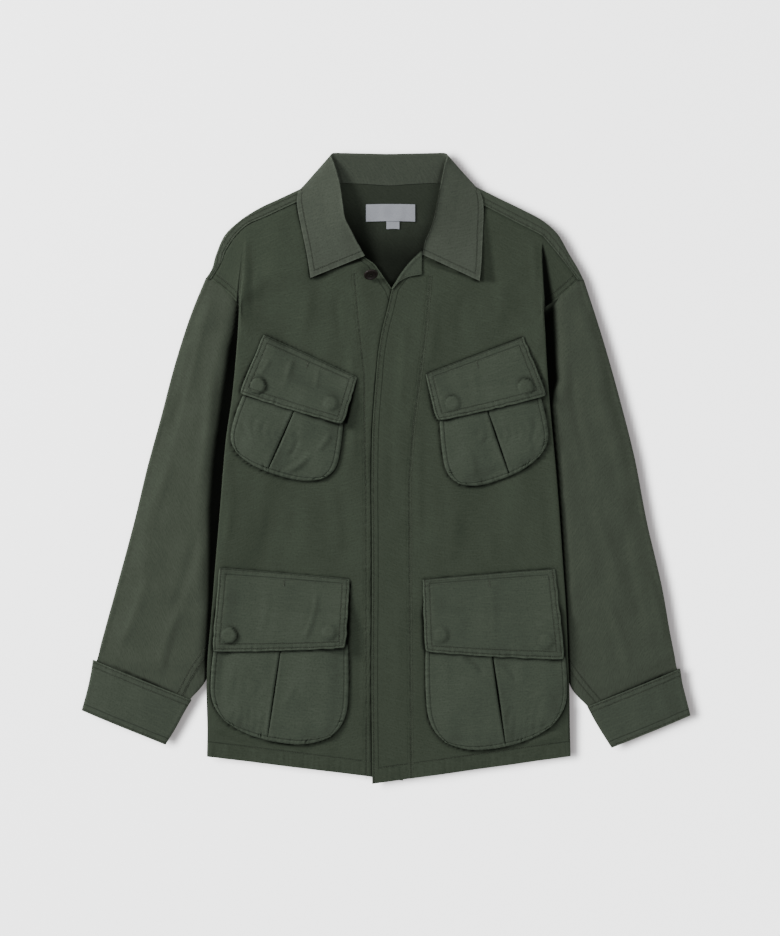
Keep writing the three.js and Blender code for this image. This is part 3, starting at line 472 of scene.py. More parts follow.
def fly_gloom(x: Array, y: Array) -> Array:
    """Painted shade on the right front beside the edge of the left front, from 0 to 1.

    Args:
        x: Places across.
        y: Places along.

    Returns:
        Painted shade at each place.
    """
    rows = FRONT_ROWS[Side.LEFT][4:][::-1]
    edge = np.interp(y, [row.edge[1] for row in rows], [row.edge[0] for row in rows])
    off = edge - x
    band = ease((off + 6) / 3) * (1 - ease((off - 0.9) / 1.6))
    return band * (0.35 + 0.5 * ease((165 - y) / 30)) * (y < 225)


def smooth_rows(table: Array, knots: Array, query: Array) -> Array:
    """Pass a smooth curve through a table's rows.

    Args:
        table: One row for each knot.
        knots: Rising places of the rows.
        query: Places to read.

    Returns:
        One row for each place.
    """
    slopes = np.gradient(table, knots, axis=0)
    index = np.clip(np.searchsorted(knots, query, side="right") - 1, 0, len(knots) - 2)
    shape = (-1,) + (1,) * (table.ndim - 1)
    span = (knots[index + 1] - knots[index]).reshape(shape)
    t = ((query - knots[index]).reshape(shape)) / span
    rise = t * t * (3 - 2 * t)
    start = t * (1 - t) ** 2 * span
    end = -t * t * (1 - t) * span
    base = lerp(table[index], table[index + 1], rise)
    return base + slopes[index] * start + slopes[index + 1] * end


def even_rows(table: Array, knots: Array, count: int) -> Array:
    """A given number of rows at even distances along a smooth table."""
    return smooth_rows(table, knots, np.linspace(0, knots[-1], count))


def read_line(line: Array, run: Array, stops: Array) -> Array:
    """Places on a line of points at the given distances."""
    return np.stack([np.interp(stops, run, column) for column in line.T], 1)


def chord_knots(points: Array) -> Array:
    """Distance run along a line of points."""
    steps = np.linalg.norm(np.diff(points, axis=0), axis=1)
    return np.concatenate([[0.0], np.cumsum(steps)])


def spread(counts: tuple[int, ...]) -> Array:
    """Fractional indices with a given number of steps between each two control points."""
    parts = [index + np.arange(count) / count for index, count in enumerate(counts)]
    return np.concatenate([*parts, [float(len(counts))]])


def read_columns(controls: Array, indices: Array, passes: int) -> Array:
    """Read sections between their control points and round off the corners.

    Args:
        controls: Rows of control points.
        indices: Fractional control indices.
        passes: How often neighbours are averaged.

    Returns:
        Rows of finer points.
    """
    low = np.clip(indices.astype(int), 0, controls.shape[1] - 2)
    share = (indices - low)[None, :, None]
    points = lerp(controls[:, low], controls[:, low + 1], share)
    for _ in range(passes):
        middle = (points[:, :-2] + points[:, 2:] + 2 * points[:, 1:-1]) / 4
        points[:, 1:-1] = middle
    return points


def wave(run: Array, seed: int, pitch: float = PUCKER_PITCH) -> Array:
    """Uneven wave along a seam, between -1 and 1.

    Args:
        run: Distance along the seam.
        seed: Chooses the pattern.
        pitch: Usual length of a wave.

    Returns:
        The wave at each place.
    """
    drift = 1.3 * np.sin(run * math.tau / (pitch * 4.7) + seed)
    drift += np.sin(run * math.tau / (pitch * 2.3) + 2 * seed)
    swell = 0.55 + 0.45 * np.sin(run * math.tau / (pitch * 3.7) + seed * 2.1)
    swell += 0.25 * np.sin(run * math.tau / (pitch * 9.1) + seed)
    return np.sin(run * math.tau / pitch + drift + seed * 0.7) * np.clip(swell, 0.05, 1.1)


def ripple(x: Array, y: Array, seed: int, height: float) -> Array:
    """Gentle unevenness of cloth that has been folded and worn.

    Args:
        x: Places across.
        y: Places along.
        seed: Chooses the pattern.
        height: Typical height in millimetres.

    Returns:
        Height at each place.
    """
    rng = np.random.default_rng(SEED + seed)
    total = np.zeros_like(x)
    for _ in range(9):
        angle = rng.uniform(-0.6, 0.6) + (math.pi / 2 if rng.random() < 0.35 else 0.0)
        length = rng.uniform(26, 95)
        warp = 0.8 * np.sin(y * math.tau / rng.uniform(90, 220) + rng.uniform(0, 6))
        phase = (x * math.cos(angle) + y * math.sin(angle)) * math.tau / length
        total += np.sin(phase + warp + rng.uniform(0, 6)) * length / 60
    return total * height / 3


def crease_height(x: Array, y: Array,
                  creases: list[Crease] | tuple[Crease, ...]) -> Array:
    """Height that a list of creases adds at each place.

    Args:
        x: Places across.
        y: Places along.
        creases: Ridges and troughs.

    Returns:
        Height at each place.
    """
    total = np.zeros_like(x)
    for crease in creases:
        run, off, length = beside_line(crease[:2], crease[2:4], x, y)
        along = np.clip(run / length, 0, 1)
        across = off - crease.bend * 4 * along * (1 - along)
        fade = ease(along / 0.3) * ease((1 - along) / 0.3)
        lean = 1 + 0.35 * np.tanh(across / crease.width)
        total += crease.height * fade * lean * np.exp(-((across / (crease.width * 0.6)) ** 2))
    return total


@dataclass
class HeightMap:
    """Heights of what has been laid so far, on a square net over the resting plane."""

    cell: float = 1.5
    reach_x: float = 420.0
    reach_y: float = 430.0
    heights: Array = field(init=False)

    def __post_init__(self) -> None:
        """Start from the bare surface."""
        shape = (int(2 * self.reach_y / self.cell) + 1, int(2 * self.reach_x / self.cell) + 1)
        self.heights = np.zeros(shape)

    def lay(self, points: Array, thickness: float) -> None:
        """Lay a grid's upper face on the map.

        Args:
            points: Rows and columns of middle points.
            thickness: Cloth thickness.
        """
        fine = points
        for axis in (0, 1):
            count = fine.shape[axis]
            query = np.linspace(0, count - 1, 3 * (count - 1) + 1)
            low = np.clip(query.astype(int), 0, count - 2)
            shape = (-1, 1, 1) if axis == 0 else (1, -1, 1)
            share = (query - low).reshape(shape)
            fine = lerp(np.take(fine, low, axis), np.take(fine, low + 1, axis), share)
        row = np.rint((fine[..., 1] + self.reach_y) / self.cell).astype(int).ravel()
        column = np.rint((fine[..., 0] + self.reach_x) / self.cell).astype(int).ravel()
        np.maximum.at(self.heights, (row, column), fine[..., 2].ravel() + thickness / 2)

    def draped(self, spread_cells: int, blur_passes: int) -> Array:
        """Heights as stiff cloth would bridge them.

        Args:
            spread_cells: How far a high place carries the cloth.
            blur_passes: How often neighbours are averaged.

        Returns:
            A new net of heights.
        """
        net = self.heights.copy()
        for _ in range(spread_cells):
            for axis in (0, 1):
                net = np.maximum(net, np.maximum(np.roll(net, 1, axis), np.roll(net, -1, axis)))
        for _ in range(blur_passes):
            for axis in (0, 1):
                net = (np.roll(net, 1, axis) + np.roll(net, -1, axis) + 2 * net) / 4
        return net

    def read(self, x: Array, y: Array, net: Array | None = None) -> Array:
        """Height at each place.

        Args:
            x: Places across.
            y: Places along.
            net: Heights to read, or the map's own.

        Returns:
            Heights.
        """
        heights = self.heights if net is None else net
        row = np.clip((y + self.reach_y) / self.cell, 0, heights.shape[0] - 1.001)
        column = np.clip((x + self.reach_x) / self.cell, 0, heights.shape[1] - 1.001)
        r, c = row.astype(int), column.astype(int)
        fr, fc = row - r, column - c
        top = lerp(heights[r, c], heights[r, c + 1], fc)
        low = lerp(heights[r + 1, c], heights[r + 1, c + 1], fc)
        return lerp(top, low, fr)


def grid_normals(points: Array, closed: bool) -> Array:
    """Unit direction that a grid's surface faces at each point.

    Args:
        points: Rows and columns of points.
        closed: Whether the last column meets the first.

    Returns:
        One direction for each point.
    """
    if closed:
        across = np.roll(points, -1, 1) - np.roll(points, 1, 1)
    else:
        across = np.gradient(points, axis=1)
    normals = np.cross(across, np.gradient(points, axis=0))
    return normals / np.maximum(np.linalg.norm(normals, axis=2, keepdims=True), 1e-9)


@dataclass
class ClothSheet:
    """Grid of cloth with thickness, grain coordinates and distances from its stitched edges."""

    name: str
    points: Array
    thickness: float
    grain: Array
    hem: Array
    closed: bool = False

    def build(self, material: Material, shade: Array) -> Object:
        """Make the closed mesh of both faces and the rim.

        Args:
            material: Finish of the cloth.
            shade: Painted shade of crevices, gaps and lifted edges at each grid place, from 0 to 1.

        Returns:
            The new object.
        """
        rows, columns = self.points.shape[:2]
        normals = grid_normals(self.points, self.closed)
        layers = [self.points + normals * (sign * self.thickness / 2) for sign in (1, -1)]
        vertices = np.concatenate([layer.reshape(-1, 3) for layer in layers]) * MM
        index = np.arange(2 * rows * columns).reshape(2, rows, columns)
        if self.closed:
            index = np.concatenate([index, index[:, :, :1]], axis=2)
        quads = [self.layer_quads(index[0]), self.layer_quads(index[1])[:, ::-1]]
        wide = np.arange(rows * index.shape[2]).reshape(rows, -1)
        corners = [self.layer_quads(wide), self.layer_quads(wide)[:, ::-1]]
        rims = [(index[:, end], wide[end], False) for end in (0, -1)]
        if not self.closed:
            rims += [(index[:, :, end], wide[:, end], True) for end in (0, -1)]
        for number, ((top, low), place, rising) in enumerate(rims):
            turn = -1 if number % 2 else 1
            quads.append(self.rim_quads(top, low, rising)[:, ::turn])
            corners.append(self.rim_quads(place, place, rising)[:, ::turn])
        faces, face_corners = np.concatenate(quads), np.concatenate(corners)
        if signed_volume(vertices, faces) < 0:
            faces, face_corners = faces[:, ::-1], face_corners[:, ::-1]
        obj = self.to_object(vertices, faces, face_corners, material)
        # Painted shade, kept on the mesh for the finish to darken by.
        layer = obj.data.attributes.new("CreviceShade", "FLOAT", "POINT")
        layer.data.foreach_set("value", np.tile(shade.ravel(), 2).astype(np.float32))
        return obj

    @staticmethod
    def layer_quads(index: Array) -> Array:
        """Quads of one layer from its vertex numbers."""
        quads = [index[:-1, :-1], index[:-1, 1:], index[1:, 1:], index[1:, :-1]]
        return np.stack(quads, -1).reshape(-1, 4)

    @staticmethod
    def rim_quads(top: Array, low: Array, rising: bool) -> Array:
        """Quads between the edges of both layers.

        Args:
            top: Vertex numbers along the upper edge.
            low: Vertex numbers along the lower edge.
            rising: Whether the edge is a side, not an end.

        Returns:
            Four numbers for each quad.
        """
        if rising:
            return np.stack([top[:-1], top[1:], low[1:], low[:-1]], 1)
        return np.stack([top[1:], top[:-1], low[:-1], low[1:]], 1)

    def to_object(self, vertices: Array, faces: Array, corners: Array,
                  material: Material) -> Object:
        """Write vertices, faces and both UV maps into a mesh object.

        Args:
            vertices: Places in metres.
            faces: Four vertex numbers for each face.
            corners: Number of the grid place of each face corner.
            material: Finish.

        Returns:
            The new object.
        """
        obj = mesh_object(self.name, vertices, faces, material)
        mesh = obj.data
        for label, values in (("Grain", self.grain), ("Hem", self.hem)):
            layer = mesh.uv_layers.new(name=label)
            flat = (values * MM).reshape(-1, 2)[corners.ravel()]
            layer.data.foreach_set("uv", flat.astype(np.float32).ravel())
        return obj


def signed_volume(vertices: Array, faces: Array) -> float:
    """Volume inside a closed mesh of quads, negative if its faces point in."""
    a, b, c, d = (vertices[faces[:, corner]] for corner in range(4))
    return float((a * (np.cross(b, c) + np.cross(c, d))).sum()) / 6


def mesh_object(name: str, vertices: Array, faces: Array,
                material: Material) -> Object:
    """Make a smooth-shaded mesh object from quads.

    Args:
        name: Object name.
        vertices: Places in metres.
        faces: Four vertex numbers for each face.
        material: Finish.

    Returns:
        The new object, linked to the scene.
    """
    mesh = bpy.data.meshes.new(name)
    mesh.vertices.add(len(vertices))
    mesh.vertices.foreach_set("co", vertices.astype(np.float32).ravel())
    mesh.loops.add(faces.size)
    mesh.loops.foreach_set("vertex_index", faces.astype(np.int32).ravel())
    mesh.polygons.add(len(faces))
    mesh.polygons.foreach_set("loop_start", np.arange(0, faces.size, 4, dtype=np.int32))
    mesh.update(calc_edges=True)
    mesh.validate()
    mesh.polygons.foreach_set("use_smooth", np.ones(len(mesh.polygons), dtype=bool))
    mesh.set_sharp_from_angle(angle=math.radians(SHARP_ANGLE))
    mesh.materials.append(material)
    obj = bpy.data.objects.new(name, mesh)
    bpy.context.scene.collection.objects.link(obj)
    return obj


def plane_uv(points: Array) -> Array:
    """Grain coordinates along a grid's own rows and columns, in millimetres.

    Args:
        points: Rows and columns of points.

    Returns:
        Two coordinates for each point.
    """
    across = np.linalg.norm(np.diff(points, axis=1), axis=2)
    along = np.linalg.norm(np.diff(points, axis=0), axis=2)
    u = np.concatenate([np.zeros((points.shape[0], 1)), np.cumsum(across, axis=1)], axis=1)
    v = np.concatenate([np.zeros((1, points.shape[1])), np.cumsum(along, axis=0)], axis=0)
    return np.stack([u, v], axis=-1)


def edge_distances(grain: Array, sides: tuple[bool, bool],
                   ends: tuple[bool, bool]) -> Array:
    """Distance from the stitched side edges and the stitched end edges.

    Args:
        grain: Grain coordinates of a grid.
        sides: Whether the first and the last column are stitched.
        ends: Whether the first and the last row are stitched.

    Returns:
        Two distances for each point, far where no edge is stitched.
    """
    u, v = grain[..., 0], grain[..., 1]
    side, end = np.full_like(u, FAR), np.full_like(u, FAR)
    if sides[0]:
        side = np.minimum(side, u)
    if sides[1]:
        side = np.minimum(side, u[:, -1:] - u)
    if ends[0]:
        end = np.minimum(end, v)
    if ends[1]:
        end = np.minimum(end, v[-1:, :] - v)
    return np.stack([side, end], axis=-1)


def node_box(name: str) -> tuple[Array, Array]:
    """Lowest and highest corner of a node's box, in millimetres.

    Args:
        name: The node.

    Returns:
        Both corners.
    """
    node = bpy.data.objects[name]
    corners = np.array([node.matrix_world @ Vector(corner) for corner in node.bound_box]) / MM
    return corners.min(axis=0), corners.max(axis=0)


def declare(obj: Object, nodes: list[str], flat: Pair,
            area: float) -> None:
    """Attach a cloth piece to the root, hide the nodes it replaces and log its faces and area.

    Args:
        obj: The piece.
        nodes: Nodes that it replaces.
        flat: Width and length of the cut in metres.
        area: Flat area of the cut in square metres.
    """
    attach(obj, ROOT)
    if nodes:
        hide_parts(*nodes)
    area = min(area, flat[0] * flat[1] * 0.99)
    log.info("%s: %d faces, %.4f m2", obj.name, len(obj.data.polygons), area)


class NodeSheet:
    """Short calls for wiring a shader node tree."""

    def __init__(self, tree: NodeTree) -> None:
        """Hold the tree that nodes are added to."""
        self.tree = tree

    def add(self, kind: str, **settings: object) -> Node:
        """Add a node and set its properties.

        Args:
            kind: Blender's node type.
            **settings: Properties by name.

        Returns:
            The node.
        """
        node = self.tree.nodes.new(kind)
        for name, value in settings.items():
            setattr(node, name, value)
        return node

    def feed(self, socket: NodeSocket, value: object) -> None:
        """Link a socket, or set its plain value.

        Args:
            socket: The input.
            value: A socket or a plain value.
        """
        if isinstance(value, NodeSocket):
            self.tree.links.new(value, socket)
        else:
            socket.default_value = value

    def plug(self, node: Node, values: dict[str, object]) -> Node:
        """Feed a node's inputs by name.

        Args:
            node: The node.
            values: Sockets or numbers by input name.

        Returns:
            The node.
        """
        for label, value in values.items():
            self.feed(node.inputs[label], value)
        return node

    def group(self, tree: NodeTree, values: dict[str, object]) -> Node:
        """Add a shared group and feed its inputs."""
        return self.plug(self.add("ShaderNodeGroup", node_tree=tree), values)

    def bump(self, height: NodeSocket, distance: float) -> NodeSocket:
        """Add a Bump node at full strength and give its normal."""
        node = self.add("ShaderNodeBump")
        return self.plug(node, {"Strength": 1.0, "Distance": distance, "Height": height}).outputs[0]

    def shade(self, values: dict[str, object]) -> None:
        """Add the surface shader, feed its inputs and join it to the output."""
        shader = self.plug(self.add("ShaderNodeBsdfPrincipled"), values)
        self.plug(self.add("ShaderNodeOutputMaterial"), {"Surface": shader.outputs[0]})

    def math(self, operation: str, *values: object, clamp: bool = False) -> NodeSocket:
        """Add a Math node.

        Args:
            operation: Blender's operation name.
            *values: Sockets or numbers.
            clamp: Whether the result is kept between 0 and 1.

        Returns:
            The result's socket.
        """
        node = self.add("ShaderNodeMath", operation=operation, use_clamp=clamp)
        for socket, value in zip(node.inputs, values):
            self.feed(socket, value)
        return node.outputs[0]

    def times(self, a: object, b: object, clamp: bool = False) -> NodeSocket:
        """Multiply two values."""
        return self.math("MULTIPLY", a, b, clamp=clamp)

    def above(self, value: object, start: object) -> NodeSocket:
        """How far a value stands above a start, never below 0."""
        return self.math("SUBTRACT", value, start, clamp=True)

    def near(self, distance: object, reach: object) -> NodeSocket:
        """Closeness to an edge: 1 on it, 0 from the reach on."""
        return self.above(1.0, self.math("DIVIDE", distance, reach))

    def split(self, vector: object) -> list[NodeSocket]:
        """Take a vector's parts.

        Args:
            vector: The vector.

        Returns:
            One socket for each part.
        """
        node = self.add("ShaderNodeSeparateXYZ")
        self.feed(node.inputs[0], vector)
        return list(node.outputs)

    def noise(self, vector: object, scale: float, detail: float = 2.0) -> NodeSocket:
        """Add a noise texture and give its factor."""
        node = self.add("ShaderNodeTexNoise")
        return self.plug(node, {"Vector": vector, "Scale": scale, "Detail": detail}).outputs["Fac"]

    def mix(self, share: object, a: object, b: object) -> NodeSocket:
        """Mix two colours by a share.

        Args:
            share: Share of the second.
            a: First colour.
            b: Second colour.

        Returns:
            The mixed colour.
        """
        node = self.add("ShaderNodeMix", data_type="RGBA")
        for index, value in ((0, share), (6, a), (7, b)):
            self.feed(node.inputs[index], value)
        return node.outputs[2]

    def stretch(self, vector: object, scale: Triple) -> NodeSocket:
        """Scale a vector's three parts.

        Args:
            vector: The vector.
            scale: One factor for each part.

        Returns:
            The scaled vector.
        """
        node = self.add("ShaderNodeVectorMath", operation="MULTIPLY")
        self.feed(node.inputs[0], vector)
        node.inputs[1].default_value = scale
        return node.outputs[0]


def new_material(name: str) -> tuple[Material, NodeSheet]:
    """Make a material with an empty node tree, and the helper that wires it.

    Args:
        name: Material name.

    Returns:
        The material and the helper.
    """
    material = bpy.data.materials.new(name)
    material.use_nodes = True
    material.node_tree.nodes.clear()
    return material, NodeSheet(material.node_tree)


def new_group(name: str, inputs: list[tuple[str, str, float]],
              outputs: list[tuple[str, str]]) -> tuple[NodeTree, NodeSheet, dict, dict]:
    """Start a shader node group with named sockets.

    Args:
        name: Group name.
        inputs: Name, kind and default of each input.
        outputs: Name and kind of each output.

    Returns:
        The tree, its wiring helper, the input sockets and the output sockets by name.
    """
    tree = bpy.data.node_groups.new(name, "ShaderNodeTree")
    for label, kind, default in inputs:
        socket = tree.interface.new_socket(name=label, in_out="INPUT", socket_type=kind)
        if kind == FLOAT:
            socket.default_value = default
    for label, kind in outputs:
        tree.interface.new_socket(name=label, in_out="OUTPUT", socket_type=kind)
    sheet = NodeSheet(tree)
    source, sink = sheet.add("NodeGroupInput"), sheet.add("NodeGroupOutput")
    return tree, sheet, {s.name: s for s in source.outputs}, {s.name: s for s in sink.inputs}


class ClothEffects:
    """Node groups that every cloth finish shares, each made once."""

    def __init__(self) -> None:
        """Build the groups."""
        self.weave = self.make_weave()
        self.pucker = self.make_pucker()
        self.topstitch = self.make_topstitch()
        self.tone = self.make_tone()

    @staticmethod
    def make_weave() -> NodeTree:
        """Close plain weave: crossing threads as a small height, with slubs.

        Returns:
            The group.
        """
        tree, sheet, inner, outer = new_group(
            "Poplin Weave",
            [("Grain", VECTOR, 0), ("Thread", FLOAT, 0.0006),
             ("Depth", FLOAT, 0.00006)],
            [("Height", FLOAT), ("Thread Mask", FLOAT)])
        waves = []
        for part in sheet.split(inner["Grain"])[:2]:
            turns = sheet.math("DIVIDE", part, inner["Thread"])
            waves.append(sheet.math("SINE", sheet.times(turns, math.tau)))
        crossing = sheet.times(*waves)
        slubs = sheet.noise(sheet.stretch(inner["Grain"], (1400, 170, 1)), 1.0, 1.0)
        mask = sheet.math("MULTIPLY_ADD", crossing, 0.25, slubs)
        sheet.feed(outer["Thread Mask"], mask)
        sheet.feed(outer["Height"], sheet.times(mask, inner["Depth"]))
        return tree

    @staticmethod
    def make_pucker() -> NodeTree:
        """Small gathers that stitching draws into the cloth beside an edge.

        Returns:
            The group.
        """
        tree, sheet, inner, outer = new_group(
            "Seam Pucker",
            [("Grain", VECTOR, 0), ("Hem", VECTOR, 0),
             ("Reach", FLOAT, 0.009), ("Depth", FLOAT, 0.0006)],
            [("Height", FLOAT), ("Mask", FLOAT)])
        pieces = []
        for far, scale in zip(sheet.split(inner["Hem"]), ((45, 210, 1), (210, 45, 1))):
            near = sheet.near(far, inner["Reach"])
            gather = sheet.noise(sheet.stretch(inner["Grain"], scale), 1.0, 1.0)
            gather = sheet.math("SUBTRACT", gather, 0.5)
            pieces.append(sheet.times(near, gather))
        total = sheet.math("ADD", *pieces)
        sheet.feed(outer["Mask"], sheet.times(total, 2.0))
        sheet.feed(outer["Height"], sheet.times(total, inner["Depth"]))
        return tree

    @staticmethod
    def make_topstitch() -> NodeTree:
        """Two grooves that a double row of topstitching presses beside an edge.

        Returns:
            The group.
        """
        tree, sheet, inner, outer = new_group(
            "Topstitch Groove",
            [("Hem", VECTOR, 0), ("First", FLOAT, 0.0025),
             ("Second", FLOAT, 0.0085), ("Width", FLOAT, 0.0011),
             ("Depth", FLOAT, 0.0004)],
            [("Height", FLOAT), ("Mask", FLOAT)])
        nearest = sheet.math("MINIMUM", *sheet.split(inner["Hem"])[:2])
        grooves = []
        for label in ("First", "Second"):
            gap = sheet.math("ABSOLUTE", sheet.math("SUBTRACT", nearest, inner[label]))
            grooves.append(sheet.near(gap, inner["Width"]))
        groove = sheet.math("MAXIMUM", *grooves)
        sheet.feed(outer["Mask"], groove)
        pressed = sheet.times(inner["Depth"], -1.0)
        sheet.feed(outer["Height"], sheet.times(groove, pressed))
        return tree

    @staticmethod
    def make_tone() -> NodeTree:
        """Washed colour: cloudy fading, fine mottle and paler worn edges, with painted shade in
        pucker dips, stitch grooves and crevices.

        Returns:
            The group.
        """
        tree, sheet, inner, outer = new_group(
            "Washed Tone",
            [("Grain", VECTOR, 0), ("Hem", VECTOR, 0),
             ("Base", COLOR, 0), ("Pale", COLOR, 0),
             ("Dark", COLOR, 0), ("Thread Mask", FLOAT, 0.5),
             ("Pucker Mask", FLOAT, 0), ("Groove Mask", FLOAT, 0),
             ("Fading", FLOAT, 0.5), ("CreviceShade", FLOAT, 0)],
            [("Color", COLOR), ("Roughness", FLOAT)])
        cloud = sheet.noise(sheet.stretch(inner["Grain"], (3, 0.6, 1)), 16.0, 4.0)
        mottle = sheet.noise(sheet.stretch(inner["Grain"], (1, 1, 1)), 420.0, 2.0)
        streak = sheet.noise(sheet.stretch(inner["Grain"], (60, 520, 1)), 1.0, 3.0)
        cloudy = sheet.times(sheet.above(cloud, 0.45), inner["Fading"])
        cloudy = sheet.times(cloudy, 0.7, clamp=True)
        faded = sheet.mix(cloudy, inner["Base"], inner["Pale"])
        streaky = sheet.times(sheet.above(streak, 0.46), 0.8)
        first = sheet.mix(streaky, faded, inner["Pale"])
        fine = sheet.times(sheet.above(mottle, 0.47), 1.6)
        second = sheet.mix(sheet.times(fine, 0.9, clamp=True), first, inner["Dark"])
        threads = sheet.above(inner["Thread Mask"], 0.5)
        third = sheet.mix(sheet.times(threads, 0.5), second, inner["Pale"])
        nearest = sheet.math("MINIMUM", *sheet.split(inner["Hem"])[:2])
        rim = sheet.near(nearest, 0.0022)
        worn = sheet.times(rim, sheet.math("ADD", mottle, 0.15))
        ridge = sheet.times(inner["Pucker Mask"], 0.9, clamp=True)
        paler = sheet.times(sheet.math("ADD", worn, ridge), inner["Fading"], clamp=True)
        fourth = sheet.mix(paler, third, inner["Pale"])
        # Painted shade in the pucker dips and the pressed stitch grooves.
        dip = sheet.times(inner["Pucker Mask"], -0.8, clamp=True)
        dip = sheet.times(dip, 0.8)
        pressed = sheet.times(inner["Groove Mask"], 0.68)
        shade = sheet.math("ADD", dip, pressed, clamp=True)
        shaded = sheet.mix(shade, fourth, inner["Dark"])
        # Painted shade: crevices, gaps and lifted edges darkened almost to black.
        deep = sheet.times(inner["CreviceShade"], 0.985, clamp=True)
        sheet.feed(outer["Color"], sheet.mix(deep, shaded, (0.0006, 0.0007, 0.0005, 1)))
        sheet.feed(outer["Roughness"], sheet.math("MULTIPLY_ADD", mottle, 0.12, 0.80))
        return tree


@dataclass(frozen=True)
class ClothFinish:
    """Washed cotton poplin in one piece's shade, colours in linear light."""

    name: str
    base: Triple
    fading: float = 0.5
    pucker_depth: float = 0.0010
    groove_depth: float = 0.0004
    stitch_rows: Pair = (0.0025, 0.0085)
    pale_share: float = 1.75
    dark_share: float = 0.55
    specular: float = 0.03

    def material(self, effects: ClothEffects) -> Material:
        """Build the finish's material.

        Args:
            effects: Shared node groups.

        Returns:
            The material.
        """
        material, sheet = new_material(self.name)
        grain = sheet.add("ShaderNodeUVMap", uv_map="Grain").outputs[0]
        hem = sheet.add("ShaderNodeUVMap", uv_map="Hem").outputs[0]
        weave = sheet.group(effects.weave, {"Grain": grain})
        pucker = sheet.group(effects.pucker, {
            "Grain": grain, "Hem": hem, "Depth": self.pucker_depth})
        groove = sheet.group(effects.topstitch, {
            "Hem": hem, "Depth": self.groove_depth,
            "First": self.stitch_rows[0], "Second": self.stitch_rows[1]})
        # Painted shade of crevices, gaps and lifted edges, read from the mesh.
        crevice_shade = sheet.add("ShaderNodeAttribute", attribute_name="CreviceShade")
        tone = sheet.group(effects.tone, {
            "Grain": grain, "Hem": hem, "Fading": self.fading, "Base": (*self.base, 1),
            "Pale": (*(min(1, c * self.pale_share) for c in self.base), 1),
            "Dark": (*(c * self.dark_share for c in self.base), 1),
            "CreviceShade": crevice_shade.outputs["Fac"], "Thread Mask": weave.outputs["Thread Mask"],
            "Pucker Mask": pucker.outputs["Mask"], "Groove Mask": groove.outputs["Mask"]})
        height = sheet.math("ADD", weave.outputs["Height"], pucker.outputs["Height"])
        height = sheet.math("ADD", height, groove.outputs["Height"])
        sheet.shade({
            "Base Color": tone.outputs["Color"], "Roughness": tone.outputs["Roughness"],
            "Normal": sheet.bump(height, 1.0), "Specular IOR Level": self.specular})
        return material


@dataclass
class Job:
    """Sheet that waits for the last layer, with its finish, what it stands for, its own painted
    shade (gloom) and its share of the painted crevice shade (depth).
    """

    sheet: ClothSheet
    finish: str
    node: str
    slot: str
    flat: Pair
    area: float
    rests_on: list[str]
    gloom: Array | float = 0.0
    depth: float = 1.0


@dataclass
class Workshop:
    """What every piece needs while it is made: finishes and the map of heights."""

    heights: HeightMap
    finishes: dict[str, Material]
    seams: list[Array] = field(default_factory=list)
    jobs: list[Job] = field(default_factory=list)
    crevice_strength: float = 1.5
    turns: int = 12
    reaches: tuple[float, ...] = (1.5, 2.8, 4.6)

    def keep(self, job: Job, laid: Array | None = None) -> None:
        """Keep a sheet for assembly and lay it on the map.

        Args:
            job: The sheet and what it stands for.
            laid: Points to lay, where they aren't the whole sheet.
        """
        self.jobs.append(job)
        self.heights.lay(job.sheet.points if laid is None else laid, job.sheet.thickness)

    def crevice_shade(self, points: Array, thickness: float) -> Array:
        """Painted shade that higher neighbours throw on each place, from 0 to 1.

        Args:
            points: Grid places.
            thickness: Cloth thickness.

        Returns:
            Painted shade of each place.
        """
        net = self.heights.draped(0, 1)
        x, y, top = points[..., 0], points[..., 1], points[..., 2] + thickness / 2
        total = np.zeros_like(x)
        for turn in np.linspace(0, math.tau, self.turns, endpoint=False):
            horizon = np.zeros_like(x)
            for reach in self.reaches:
                beside_x, beside_y = x + reach * math.cos(turn), y + reach * math.sin(turn)
                rise = self.heights.read(beside_x, beside_y, net) - top
                horizon = np.maximum(horizon, (rise - 0.5) / reach)
            total += np.clip(horizon, 0, 1.6) ** 1.2
        covered = ease((self.heights.read(x, y, net) - top - 1.2) / 2.5)
        return np.clip(total / self.turns * self.crevice_strength, 0, 0.9) * (1 - 0.85 * covered)

    def assemble(self) -> None:
        for job in self.jobs:
            # Painted shade: each piece's crevice shade, joined with its own painted gaps and
            # strips.
            shade = self.crevice_shade(job.sheet.points, job.sheet.thickness) * job.depth
            shade = np.maximum(shade, np.broadcast_to(job.gloom, shade.shape))
            obj = job.sheet.build(self.finishes[job.finish], shade)
            declare(obj, [job.node] if job.node else [], job.flat, job.area)

    def sew(self, points: Array, grain: Array, edge: str, offset: float,
            thickness: float, span: Pair = (0.0, 1.0)) -> None:
        """Keep a row of stitches beside one edge of a grid.

        Args:
            points: Grid places.
            grain: Grain coordinates.
            edge: One of first_row, last_row, first_column, last_column.
            offset: Distance from the edge.
            thickness: Cloth thickness.
            span: Part of the edge that is sewn.
        """
        if edge.endswith("column"):
            points, run = np.swapaxes(points, 0, 1), grain[..., 0].T
        else:
            run = grain[..., 1]
        if edge.startswith("last"):
            points, run = points[::-1], run[-1:] - run[::-1]
        count = points.shape[1]
        low, high = int(span[0] * (count - 1)), int(span[1] * (count - 1))
        line = np.array([[np.interp(offset, run[:, column], points[:, column, axis])
                          for axis in range(3)] for column in range(low, high + 1)])
        line[:, 2] += thickness / 2 + 0.12
        self.seams.append(line)

    def stitch(self, x: Array, y: Array, lift: float = 0.15) -> None:
        """Keep a stitch line, laid on what is there now.

        Args:
            x: Places across.
            y: Places along.
            lift: Height of the thread's middle above the cloth.
        """
        self.seams.append(np.stack([x, y, self.heights.read(x, y) + lift], axis=1))


